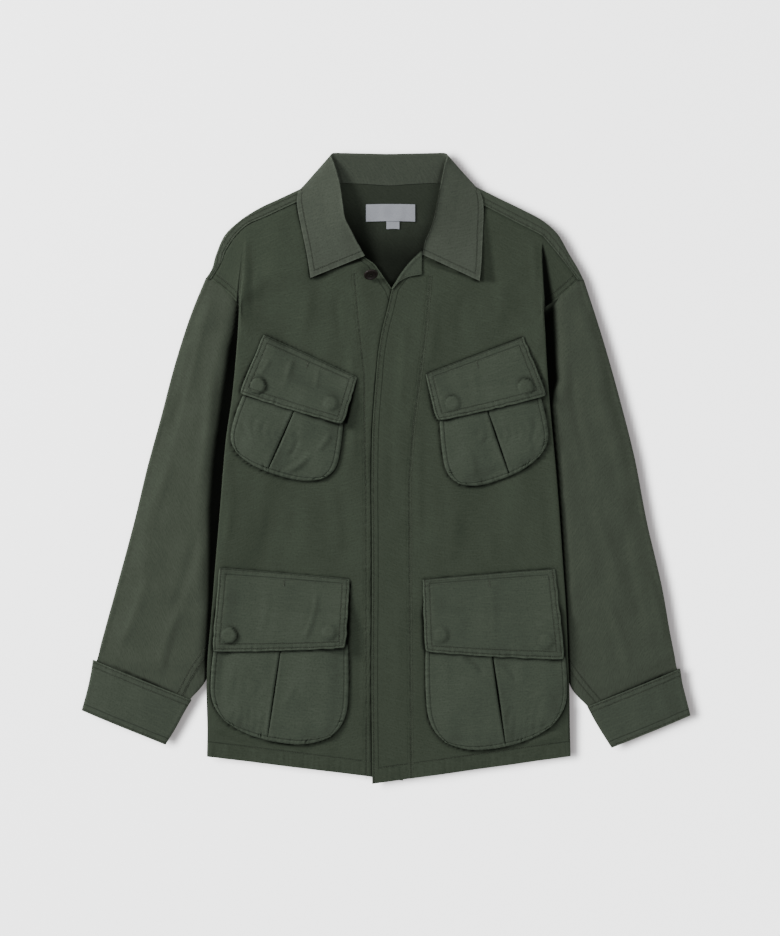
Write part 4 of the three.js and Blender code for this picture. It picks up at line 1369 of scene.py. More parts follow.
SLEEVE_SEAMS = {
    Side.RIGHT: ((-258.6, -289), (-219, -226)),
    Side.LEFT: ((274.8, -297), (222, -226)),
}
SLEEVE_SEAM_BOW = 2.5
PLACKET_LINES = {
    Side.RIGHT: [(-40.6, 247.6), (-35.4, 188), (-32, 153.7), (-27.8, 119.4), (-27.2, 50.8),
                 (-25.8, -27.9), (-25, -396)],
    Side.LEFT: [(55.9, 245.1), (51.6, 188), (43.2, 119.4), (34.3, 50.8), (29.2, -15.2),
                (30, -180), (31.8, -396)],
}


@dataclass
class Front:
    """One front: flat over the body, turned under at the side and back to the seam."""

    side: Side
    rows: int = 236
    spans: tuple[int, ...] = (28, 26, 24, 10, 7, 9, 9, 3, 3, 3, 3, 4, 4, 3)
    ramp: float = 25.0
    layer_rise: float = 3.0
    near_seam: float = 8.0

    def section(self, row: FrontRow, tucked: bool) -> Array:
        """Control points of one section, from the edge to the seam.

        Args:
            row: The section's places and heights.
            tucked: Whether the cloth turns back under itself.

        Returns:
            Fifteen points.
        """
        edge, fold, seam = np.array(row.edge), np.array(row.fold), np.array(row.seam)
        span = float(np.linalg.norm(fold - edge))
        points: list[Triple] = []

        def put(place: Array, z: float) -> None:
            """Keep one control point."""
            points.append((float(place[0]), float(place[1]), z))

        if not tucked:
            for share in (0, 0.18, 0.36, 0.54, 0.7, 0.82, 0.92, 1):
                put(lerp(edge, fold, share), lerp(row.edge_z, row.fold_z, share))
            for share, drop in ((0.1, 0.05), (0.22, 0.25), (0.36, 0.55), (0.5, 0.85), (0.65, 1)):
                put(lerp(fold, seam, share), lerp(row.fold_z, row.return_z, drop))
            put(lerp(fold, seam, 0.82), row.near_z)
            put(seam, row.seam_z)
            return np.array(points)
        depth = float(np.linalg.norm(fold - seam))
        radius = (row.fold_z - row.return_z) / 2
        ramp = min(depth + self.ramp, span * 0.8)
        seam_top = row.seam_z + self.layer_rise
        base = min(row.edge_z + 0.3, seam_top)
        for share in (0, 0.25, 0.5, 0.75, 1):
            put(lerp(edge, lerp(fold, edge, ramp / span), share), lerp(row.edge_z, base, share))
        shoulder = max(depth, radius * 1.6)
        put(lerp(fold, edge, shoulder / span), seam_top)
        put(lerp(fold, edge, (shoulder + radius) / 2 / span), lerp(seam_top, row.fold_z, 0.56))
        middle = row.return_z + radius
        for angle in (90, 45, 0, -45, -90):
            turn = math.radians(angle)
            reach = min(radius, depth * 0.8) * (1 - math.cos(turn))
            put(lerp(fold, edge, reach / span), middle + radius * math.sin(turn))
        start = np.array(points[-1][:2])
        near = lerp(seam, fold, min(self.near_seam, depth * 0.4) / depth)
        put(lerp(start, near, 0.5), lerp(row.return_z, row.near_z, 0.5))
        put(near, row.near_z)
        put(seam, row.seam_z)
        return np.array(points)

    def build(self, shop: Workshop) -> None:
        """Make the front and lay it on the map.

        Args:
            shop: Finishes and heights.
        """
        table = FRONT_ROWS[self.side]
        controls = np.stack([
            self.section(row, index >= FIRST_TUCKED_ROW) for index, row in enumerate(table)])
        knots = (chord_knots(controls[:, 0]) + chord_knots(controls[:, 7])) / 2
        query = np.linspace(0, knots[-1], self.rows)
        fine = smooth_rows(controls, knots, query)
        near_neck = ease((knots[5] - query) / 40)[:, None]
        fine[:, 0] = lerp(fine[:, 0], read_line(controls[:, 0], knots, query), near_neck)
        columns = spread(self.spans)
        points = read_columns(fine, columns, 4)
        self.meet_yoke(points)
        top = columns <= 7.0
        grain = plane_uv(points)
        x, y = points[..., 0], points[..., 1]
        to_edge, to_hem = grain[..., 0], grain[-1:, :, 1] - grain[..., 1]
        quiet = ease(to_edge / 45.0) * 0.85 + 0.15
        near_fold = ease((7.0 - columns) / 0.35)[None, :] * top[None, :]
        seed = 3 if self.side is Side.RIGHT else 4
        lift = ripple(x, y, seed, 0.75) + crease_height(x, y, FRONT_CREASES[self.side])
        lift = lift * quiet * near_fold * ease(grain[..., 1] / 25)
        lift += 0.55 * wave(to_edge, seed) * np.exp(-((to_hem / 17.0) ** 2)) * near_fold
        line = np.array(PLACKET_LINES[self.side])
        far = x - np.interp(y, line[::-1, 1], line[::-1, 0])
        sewn = (y < line[0, 1]) * top[None, :]
        lift += (0.28 * wave(grain[..., 1], seed + 2) - 0.35) * np.exp(-((far / 3.0) ** 2)) * sewn
        points[..., 2] += lift
        name = f"front_{self.side.value}"
        hem = edge_distances(grain, (True, True), (False, True))
        hem[..., 0] = np.where(sewn & (np.abs(far) < 4.6), np.abs(far) + 2.5, hem[..., 0])
        hem[..., 1] = np.maximum(to_hem - 10.5, 5.0)
        sheet = ClothSheet(f"dressed_{name}", points, CLOTH, grain, hem)
        # Painted shade on the front: in the gap beyond its fold, beside lifted flap edges and
        # collar leaves, and beside the left front's edge.
        beyond = (columns > 6.9)[None, :] * (np.arange(self.rows) < self.rows * 0.4)[:, None]
        beyond = beyond * ease((fold_distance(self.side, x, y)[0] - 0.4) / 1.5)
        gloom = fold_gloom(self.side, x, y) * beyond
        gloom = np.maximum(gloom, strip_gloom(self.side, x, y) * top[None, :])
        if self.side is Side.RIGHT:
            gloom = np.maximum(gloom, fly_gloom(x, y) * top[None, :])
        job = Job(sheet, "body", name, "jacket_cloth", (0.33, 0.80), 0.205,
                  ["dressed_back_panel", "dressed_back_yoke"], gloom)
        shop.keep(job, points[:, top])
        shop.sew(points, grain, "first_column", 2.5, CLOTH, (0.16, 1.0))
        for offset in (2.5, 8.5):
            shop.sew(points, grain, "last_column", offset, CLOTH, (0.0, 0.165))
        shop.sew(points, grain, "last_row", 19.0, CLOTH, (0.0, 0.66))
        run = chord_knots(line)
        place = read_line(line, run, np.linspace(0, 1, 260) * run[-1])
        for offset in (0.0, 2.6) if self.side is Side.LEFT else (0.0,):
            shop.stitch(place[:, 0] + offset, place[:, 1])

    def meet_yoke(self, points: Array) -> None:
        """Slide the front's top edge under the yoke's front seam.

        Args:
            points: The front's grid, changed in place.
        """
        seam = np.array([
            column.front for column in reversed(YOKE_COLUMNS[self.side]) if column.wrap])
        run = chord_knots(seam)
        first = points[0, :, :2].copy()
        share = chord_knots(first)
        target = read_line(seam, run, share / share[-1] * run[-1])
        ahead = np.gradient(target, axis=0)
        outward = np.stack([-ahead[:, 1], ahead[:, 0]], 1)
        outward /= np.linalg.norm(outward, axis=1, keepdims=True)
        outward *= np.sign(outward[:, 1:2] + 1e-9)
        target += outward * 2.2
        steps = np.diff(points[..., :2], axis=0, prepend=points[:1, :, :2])
        along = np.cumsum(np.linalg.norm(steps, axis=2), axis=0)
        weight = ease(1 - along / 45)[..., None]
        points[..., :2] += weight * (target - first)[None]
        points[..., 2] -= 1.15 * ease(1 - along / 7)


@dataclass
class BackPanel:
    """Back body panel, flat on the surface under everything else."""

    hem_sag: float = 17.0
    seam_gap: float = 0.3
    rows: int = 140
    columns: int = 90
    first_sagging_row: int = 90

    def build(self, shop: Workshop) -> None:
        """Make the panel.

        Args:
            shop: Finishes and heights.
        """
        edges = []
        for side in (Side.RIGHT, Side.LEFT):
            corner = YOKE_COLUMNS[side][0].back
            seams = [row.seam for row in FRONT_ROWS[side][FIRST_TUCKED_ROW + 1:]]
            line = np.array([(corner[0], corner[1] - self.seam_gap), *seams])
            edges.append(even_rows(line, chord_knots(line), self.rows))
        share = np.linspace(0, 1, self.columns)
        plane = lerp(edges[0][:, None, :], edges[1][:, None, :], share[None, :, None])
        points = np.concatenate([plane, np.full(plane.shape[:2] + (1,), CLOTH / 2)], axis=2)
        start = self.first_sagging_row
        fall = ease((np.arange(self.rows) - start) / (self.rows - start - 1))[:, None]
        points[..., 1] -= self.hem_sag * 4 * share * (1 - share) * fall
        grain = plane_uv(points)
        x, y = points[..., 0], points[..., 1]
        hem = edge_distances(grain, (True, True), (True, True))
        inside = ease(hem[..., 0] / 30) * ease(grain[..., 1] / 20)
        inside = inside * ease((grain[-1:, :, 1] - grain[..., 1]) / 20)
        points[..., 2] += np.maximum(ripple(x, y, 9, 0.5), 0) * inside
        sheet = ClothSheet("dressed_back_panel", points, CLOTH, grain, hem)
        shop.keep(Job(sheet, "body", "back_panel", "jacket_cloth", (0.46, 0.57), 0.19, []))


@dataclass
class Yoke:
    """Back yoke, wrapped over both shoulders to the front yoke seams."""

    rows: int = 190
    armhole_reach: tuple[float, ...] = (1, 0.8, 0.55, 0.3, 0.12)

    @staticmethod
    def level(y: float) -> float:
        """Height of the lower ply, raised at the neck over the collar's fall."""
        share = (y - NECK_LIFT_START) / (NECK_LIFT_END - NECK_LIFT_START)
        return CLOTH / 2 + NECK_LIFT * min(1.0, max(0.0, share))

    def shares(self, column: YokeColumn, start_y: float) -> list[float]:
        """Shares along a column's lower ply.

        Args:
            column: The column.
            start_y: Where the shoulder's turn starts.

        Returns:
            Six shares.
        """
        if start_y < NECK_LIFT_END + 10:
            return [0, 0.25, 0.5, 0.7, 0.84, 0.94]
        reach = start_y - column.back[1]
        low, high = ((y - column.back[1]) / reach for y in (NECK_LIFT_START, NECK_LIFT_END))
        return [0, low / 2, low, (low + high) / 2, high, (1 + high) / 2]

    def column(self, column: YokeColumn, target: Pair,
               bulges: Array) -> Array:
        """Control points of one column, from the back seam to the front seam.

        Args:
            column: The column.
            target: Where the shoulder's turn leads to.
            bulges: Shifts of the first six points towards the armhole's curve.

        Returns:
            Eleven points.
        """
        fold, front = np.array(column.fold), np.array(column.front)
        low = self.level(column.fold[1])
        radius = (column.top_z - low) / 2 if column.wrap else 0.0
        reach = radius / float(np.linalg.norm(fold - target)) if column.wrap else 0.02
        start = lerp(fold, np.array(target), reach)
        points = []
        for share, bulge in zip(self.shares(column, float(start[1])), bulges):
            place = lerp(np.array(column.back), start, share) + bulge
            points.append((*place, self.level(float(place[1]))))
        if not column.wrap:
            points += [(*lerp(start, fold, share), low) for share in (0.2, 0.4, 0.6, 0.8, 1)]
            return np.array(points)
        points.append((*start, low))
        for angle in (-35, 25):
            turn = math.radians(angle)
            place = lerp(fold, start, 1 - math.cos(turn))
            points.append((*place, low + radius * (1 + math.sin(turn))))
        top_share = min(0.5, radius / float(np.linalg.norm(fold - front)))
        points.append((*lerp(fold, front, top_share), column.top_z))
        points.append((*front, column.top_z))
        return np.array(points)

    def half(self, side: Side) -> list[Array]:
        """Columns of one side, from the armhole to the neck.

        Args:
            side: Wearer's side.

        Returns:
            Control points of each column.
        """
        columns, fronts = YOKE_COLUMNS[side], FRONT_ROWS[side]
        first = columns[0]
        corner = (fronts[0].seam[0], first.fold[1])
        path = np.array([
            first.back, lerp(np.array(first.back), np.array(fronts[3].seam), 0.6), fronts[3].seam,
            fronts[2].seam, fronts[1].seam, corner])
        straight = self.column(first, corner, np.zeros((6, 2)))
        bulges = path - straight[:6, :2]
        made = []
        for index, column in enumerate(columns):
            reach = self.armhole_reach[index] if index < len(self.armhole_reach) else 0.0
            made.append(self.column(column, corner if index == 0 else column.back, bulges * reach))
        return made

    def build(self, shop: Workshop) -> None:
        """Make the yoke and lay it on the map.

        Args:
            shop: Finishes and heights.
        """
        middle = self.column(YOKE_MIDDLE, YOKE_MIDDLE.back, np.zeros((6, 2)))
        controls = np.stack([*self.half(Side.RIGHT), middle, *reversed(self.half(Side.LEFT))])
        knots = chord_knots(controls[:, 5])
        fine = even_rows(controls, knots, self.rows)
        points = read_columns(fine, spread((9, 9, 6, 6, 6, 4, 3, 3, 3, 6)), 2)
        grain = plane_uv(points)
        x, y = points[..., 0], points[..., 1]
        from_middle = np.abs(x - YOKE_MIDDLE.fold[0])
        inside = ease((y - 190) / 40) * ease((330 - y) / 30) * ease((150 - from_middle) / 40)
        points[..., 2] += np.maximum(ripple(x, y, 12, 0.55), 0) * inside * (points[..., 2] < 3.5)
        strip = ease((points[..., 2] - 4.2) / 0.8)
        points[..., 2] += 0.45 * strip
        from_seam = grain[:, -1:, 0] - grain[..., 0]
        points[..., 2] += 0.3 * wave(grain[..., 1], 14) * np.exp(-from_seam / 5) * strip
        hem = edge_distances(grain, (False, True), (False, False))
        hem[..., 0] = np.where(from_middle < 78, FAR, hem[..., 0])
        sheet = ClothSheet("dressed_back_yoke", points, CLOTH, grain, hem)
        # Painted shade inside the neck, darker towards the V and on the wearer's right, none on the
        # raised strip; the yoke takes only part of the crevice shade.
        low = 1 - ease((points[..., 2] - 4.4) / 0.8)
        deep = ease((320 - y) / 60) * 0.36 + 0.46
        deep += 0.26 * ease((-4 - x) / 34) * ease((350 - y) / 40)
        gloom = np.clip(deep, 0, 0.93) * low * ease((95 - from_middle) / 10)
        shop.keep(Job(sheet, "yoke", "back_yoke", "jacket_cloth", (0.50, 0.22), 0.083, [],
                      gloom, 0.35))
        for offset in (2.5, 8.0):
            for span in ((0.02, 0.36), (0.64, 0.98)):
                shop.sew(points, grain, "last_column", offset, CLOTH, span)


@dataclass
class Tube:
    """Sleeve or cuff: a flattened tube on the surface."""

    name: str
    side: Side
    rows: list[TubeRow]
    finish: str
    creases: list[Crease]
    steps: int
    flat: Pair
    area: float
    ends: tuple[bool, bool]
    stitched: list[tuple[str, float]]
    cloth: float = CLOTH
    raised: float = 0.0
    tuck: float = 0.0
    inner_height: float = 4.4
    taper: float = 0.055
    outer_height: float = 5.6
    armhole_pull: float = 3.2
    squeezed_height: float = 3.9
    across: int = 56

    def armhole(self) -> Array:
        """Places along the armhole, from the shoulder tip to the underarm.

        Returns:
            One place in each row.
        """
        seams = [row.seam for row in FRONT_ROWS[self.side][:8]]
        extra = lerp(np.array(seams[6]), np.array(seams[7]), 0.8)
        return np.array([ARMHOLE_TIP[self.side], *seams[:7], extra, seams[7]])

    def build(self, shop: Workshop) -> None:
        """Make the tube and lay it on the map.

        Args:
            shop: Finishes and heights.
        """
        table = np.array([[*row.outer, *row.inner, row.height, row.curve] for row in self.rows])
        knots = (chord_knots(table[:, :2]) + chord_knots(table[:, 2:4])) / 2
        fine = even_rows(table, knots, self.steps)
        outer, inner, height = fine[:, :2], fine[:, 2:4], fine[:, 4:5]
        curve = np.clip(fine[:, 5], 0, 1)
        width = np.linalg.norm(inner - outer, axis=1, keepdims=True)
        turn = (1 - np.cos(np.linspace(0, math.pi, self.across))) / 2
        share = lerp(turn, np.linspace(0, 1, self.across), 0.55)
        cloth = self.cloth
        steps = np.linspace(0, 1, self.steps)[:, None]
        squeeze = np.zeros_like(steps)
        if self.tuck > 0:
            shift = (outer[-1] - outer[-4] + inner[-1] - inner[-4]) / 2
            shift = shift / np.linalg.norm(shift) * self.tuck
            push = ease((steps - 0.95) / 0.05) * shift
            outer, inner = outer + push, inner + push
            squeeze = ease((steps - 0.955) / 0.03)
        if self.creases:
            back = (outer[0] - outer[3]) / np.linalg.norm(outer[0] - outer[3]) * self.armhole_pull
            pull = (1 - ease(steps / 0.03)) * back
            outer, inner = outer + pull, inner + pull
        margin = (cloth * 0.5 + 1.6 * squeeze) / width
        ring_share = np.clip(share[None, :], margin, 1 - margin)
        hole = self.armhole()
        run = chord_knots(hole)
        bulge = read_line(hole, run / run[-1], share) - lerp(hole[:1], hole[-1:], share[:, None])
        plane = lerp(outer[:, None], inner[:, None], ring_share[..., None])
        plane = plane + bulge[None] * curve[:, None, None]
        from_outer, from_inner = share[None, :] * width, (1 - share[None, :]) * width
        near_edge = np.minimum(from_outer, from_inner)
        rise = self.outer_height + 0.1 * np.maximum(0, from_outer - 8)
        crest = np.minimum(np.minimum(height, self.inner_height + self.taper * from_inner), rise)
        rounding = np.sqrt(np.clip(near_edge / 3.0, 0, 1))
        low = cloth / 2
        half = (self.inner_height - cloth / 2 + low) / 2
        top = lerp(half, crest - cloth / 2 + self.raised, rounding)
        bottom = lerp(half, low, rounding)
        x, y = plane[..., 0], plane[..., 1]
        seed = (21 if self.side is Side.RIGHT else 22) + len(self.name)
        fade = ease(near_edge / 9.0)
        along = np.linspace(0, knots[-1], self.steps)[:, None]
        ends = ease(along / 12) * ease((knots[-1] - along) / 14)
        soft = ripple(x, y, seed, 0.6) + 1.25 * crease_height(x, y, self.creases)
        near_end = np.minimum(along, knots[-1] - along)
        top = top + soft * fade * ends
        top = top + 0.4 * wave(from_outer, seed) * np.exp(-near_end / 6) * fade
        gloom: Array | float = 0.0
        if self.creases:
            far, gap = fold_distance(self.side, x, y)
            dip = 4.2 * np.exp(-(((far - gap * 0.3) / (gap * 0.7 + 2)) ** 2))
            dip = dip * np.clip(gap / 6, 0, 1)
            ridge = np.exp(-(((far - gap - 10) / 8) ** 2)) * np.clip(gap / 9, 0, 1)
            top = top - 1.3 * (1 - ease(along / 5.5)) * fade
            run, off, reach = beside_line(*SLEEVE_SEAMS[self.side], x, y)
            off = off - SLEEVE_SEAM_BOW * np.sin(np.clip(run / reach, 0, 1) * math.pi)
            sewn = (run > -14) & (run < reach + 10) & (np.abs(off) < 22)
            felled = ease((off + 0.8) / 1.4) * ease((7.3 - off) / 1.4)
            top = top + 0.6 * felled * sewn * fade
            top = np.maximum(top + (ridge - dip) * fade, low + cloth + 0.5)
            # Painted shade in the gap beside the front's fold.
            shade = fold_gloom(self.side, x, y) * ease(along / 6)
            gloom = np.concatenate([shade, np.zeros_like(shade[:, -2:0:-1])], axis=1)
        middle = self.squeezed_height
        top = lerp(top, middle + (top - middle) * 0.42, squeeze)
        bottom = lerp(bottom, middle + (bottom - middle) * 0.46, squeeze)
        upper = np.concatenate([plane, top[..., None]], axis=2)
        lower = np.concatenate([plane, bottom[..., None]], axis=2)
        points = np.concatenate([upper, lower[:, -2:0:-1]], axis=1)
        grain = plane_uv(np.concatenate([points, points[:, :1]], axis=1))
        hem = edge_distances(grain, (False, False), self.ends)
        if self.creases:
            hem[:, :self.across, 0] = np.where(sewn, off + 40, hem[:, :self.across, 0])
        sheet = ClothSheet(f"dressed_{self.name}", points, cloth, grain, hem, closed=True)
        shop.keep(Job(sheet, self.finish, self.name, "jacket_cloth", self.flat, self.area, [],
                      gloom), upper)
        flat_grain = plane_uv(upper)
        for edge, offset in self.stitched:
            shop.sew(upper, flat_grain, edge, offset, cloth, (0.03, 0.97))


@dataclass
class Collar:
    """Convertible collar: stand, roll line and fall in one piece."""

    rows: int = 230

    @staticmethod
    def section(row: CollarRow) -> Array:
        """Control points of one section, from the neck seam to the outer edge.

        Args:
            row: The section's places.

        Returns:
            Ten points.
        """
        seam, roll, edge = np.array(row.seam), np.array(row.roll), np.array(row.edge)
        high = float(ease((row.fall_z - 3.0) / 4.0))
        turn = lerp(1.6, 3.2, high) / float(np.linalg.norm((roll - edge)[:2]))
        outward = lerp(roll, edge, turn)
        start = np.array([outward[0], outward[1], max(row.fall_z, roll[2] - lerp(3.8, 1.7, high))])
        points = [seam, *(lerp(seam, roll, share) for share in (0.3, 0.6, 0.86)), roll, start]
        holds = (lerp(0.35, 0.64, high), 0.3 * high, 0.06 * high, 0)
        for share, hold in zip((0.2, 0.4, 0.7, 1), holds):
            place = lerp(start, edge, share)
            low = edge[2] if share == 1 else row.fall_z
            points.append(np.array([place[0], place[1], lerp(low, start[2], hold)]))
        return np.array(points)

    def build(self, shop: Workshop) -> None:
        """Make the collar and lay it on the map.

        Args:
            shop: Finishes and heights.
        """
        rows = [*COLLAR_ROWS[Side.RIGHT], *reversed(COLLAR_ROWS[Side.LEFT])]
        controls = np.stack([self.section(row) for row in rows])
        knots = (chord_knots(controls[:, 4]) + chord_knots(controls[:, -1])) / 2
        fine = even_rows(controls, knots, self.rows)
        points = read_columns(fine, spread((5, 5, 5, 5, 4, 10, 12, 14, 14)), 3)
        for _ in range(2):
            points[1:-1] = (points[:-2] + points[2:] + 2 * points[1:-1]) / 4
        grain = plane_uv(points)
        x, y = points[..., 0], points[..., 1]
        above = ease((points[..., 2] - 6.5) / 1.5)
        points[..., 2] += ripple(x, y, 31, 0.35) * above
        to_edge = grain[:, -1:, 0] - grain[..., 0]
        points[..., 2] += 0.3 * wave(grain[..., 1], 5) * np.exp(-to_edge / 6) * above
        hem = edge_distances(grain, (False, True), (True, True))
        sheet = ClothSheet("dressed_collar", points, CLOTH, grain, hem)
        # Painted shade on the collar's stand inside the neck, deeper on the wearer's left side; the
        # collar takes half the crevice shade.
        columns = np.arange(points.shape[1])[None, :]
        stand = ease((3.9 - columns / 5) / 0.8) * ease((y - 300) / 50)
        rolled = ease((23 - columns) / 3) * ease((x - 30) / 10)
        gloom = np.maximum(0.16 * stand, 0.5 * rolled * ease((362 - y) / 14))
        shop.keep(Job(sheet, "collar", "collar", "jacket_cloth", (0.50, 0.11), 0.046,
                      ["dressed_front_right", "dressed_front_left"], gloom, 0.5))
        for edge, span in (("last_column", (0.02, 0.36)), ("last_column", (0.64, 0.98)),
                           ("first_row", (0.4, 0.92)), ("last_row", (0.4, 0.92))):
            shop.sew(points, grain, edge, 6.8, CLOTH, span)


def quad_place(corners: Array, across: Array, down: Array) -> Array:
    """Places inside four corners by their shares across and down."""
    a, d = across[..., None], down[..., None]
    return lerp(lerp(corners[0], corners[1], a), lerp(corners[3], corners[2], a), d)


def clustered(length: float, step: float, extra: list[float]) -> Array:
    """Shares along a length, close together at both ends and at given places.

    Args:
        length: Length in millimetres.
        step: Usual step.
        extra: Shares with close neighbours.

    Returns:
        Rising shares from 0 to 1.
    """
    close = np.array([0, 0.35, 0.8, 1.4, 2.2, 3.2, 4.4, 5.6, 7.0]) / length
    body = np.arange(8.4, length - 8.4, step) / length
    beside = (-2.7, -1.9, -1.35, -0.9, -0.45, 0, 0.45, 0.9, 1.35, 1.9, 2.7)
    marks = [share + offset / length for share in extra for offset in beside]
    plain = [value for value in body if all(abs(value - mark) * length > 0.4 for mark in marks)]
    return np.array(sorted({*close.tolist(), *(1 - close).tolist(), *plain, *marks}))


@dataclass
class PocketBag:
    """Bellows pocket bag with a pleat, rounded lower corners and a stitched edge."""

    cut: PocketCut
    wall: float = 2.5
    crown: float = 2.0
    corner: float = 0.21
    swell: float = 0.045
    step: float = 2.1

    def build(self, shop: Workshop) -> None:
        """Make the bag and lay it on the map.

        Args:
            shop: Finishes and heights.
        """
        cut = self.cut
        corners = np.array(cut.bag, dtype=float)
        width = float(np.linalg.norm(corners[0] - corners[1]))
        height = float(np.linalg.norm(corners[0] - corners[3]))
        across, down = np.meshgrid(
            clustered(width, self.step, [0.5]), clustered(height, self.step, []))
        plane = self.outline(corners, across, down)
        offset = beside_line(*cut.pleat, plane[..., 0], plane[..., 1])[1]
        slit_share = np.array([[np.interp(0.0, line, row)] for line, row in zip(offset, across)])
        across = np.where(
            across < 0.5, across * 2 * slit_share, 1 - (1 - across) * 2 * (1 - slit_share))
        plane = self.outline(corners, across, down)
        x, y = plane[..., 0], plane[..., 1]
        inset_x = np.minimum(across, 1 - across) * width
        inset_y = np.minimum(down, 1 - down) * height
        inset = np.minimum(inset_x, inset_y)
        run = np.where(inset_x < inset_y, down * height, across * width)
        base = shop.heights.read(x, y, shop.heights.draped(0, 6))
        gusset = np.sqrt(np.clip(inset / 1.6, 0, 1)) * self.wall
        groove = -0.35 * np.exp(-((inset - 5.0) / 1.0) ** 2)
        dome = self.crown * ease((inset - 5) / 22)
        seed = 41 + len(cut.name) + (7 if cut.side is Side.LEFT else 0)
        at_bottom = np.where(inset_x < inset_y, 0.3 + 0.7 * ease((down - 0.6) / 0.3), 1.0)
        gather = 0.8 * at_bottom * wave(run, seed, 6.0) * np.exp(-(((inset - 4) / 4.5) ** 2))
        far = np.abs(across - slit_share) * width
        seen = np.clip((down - 0.28) / 0.68, 0, 1)
        opening = cut.pleat_open * (0.3 + 0.75 * np.sin(math.pi * (0.08 + 0.86 * seen)))
        slit = -2.6 * np.exp(-((far / (opening + 0.3)) ** 2))
        slit = (slit + 0.4 * np.exp(-(((far - 2.8) / 1.8) ** 2))) * ease((inset_y - 3.2) / 2)
        soft = ripple(x, y, seed, 0.5) + crease_height(x, y, cut.bag_creases)
        soft = soft * ease((inset - 5) / 10)
        z = base + CLOTH / 2 + LIE_GAP * 0.3 + gusset + groove + dome + gather + slit + soft
        points = np.stack([x, y, z], axis=-1)
        grain = np.stack([across * width, down * height], axis=-1)
        hem = np.stack([inset_x, np.where(down > 0.5, inset_y, FAR)], axis=-1)
        name = f"{cut.name}_bag_{cut.side.value}"
        sheet = ClothSheet(f"dressed_{name}", points, CLOTH, grain, hem)
        front = f"dressed_front_{cut.side.value}"
        flat = (round(width * MM + 0.05, 3), round(height * MM + 0.03, 3))
        # Painted shade in the pleat's opening and beside the flap's lifted edges.
        gloom = 0.98 * (1 - ease((far - opening * 0.75) / 0.5)) * ease((inset_y - 3.6) / 1.6)
        gloom = np.maximum(gloom, strip_gloom(cut.side, x, y))
        area = round(width * height * MM * MM * 1.03, 4)
        shop.keep(Job(sheet, "bag", name, "jacket_cloth", flat, area, [front], gloom))

    def outline(self, corners: Array, across: Array, down: Array) -> Array:
        """Places of the bag inside its swelling sides and rounded lower corners.

        Args:
            corners: Four corners.
            across: Shares across.
            down: Shares down.

        Returns:
            Places in the plane.
        """
        low = np.maximum(0, (down - 0.6) / 0.4)
        side = across * 2 - 1
        swell = self.swell * np.sin(math.pi * np.clip(down * 1.15 - 0.1, 0, 1))
        narrow = 1 - self.corner * low ** 2.6 + swell
        rounded = down * (1 - self.corner * 0.5 * np.abs(side) ** 2.6 * low)
        return quad_place(corners, 0.5 + side * narrow / 2, rounded)


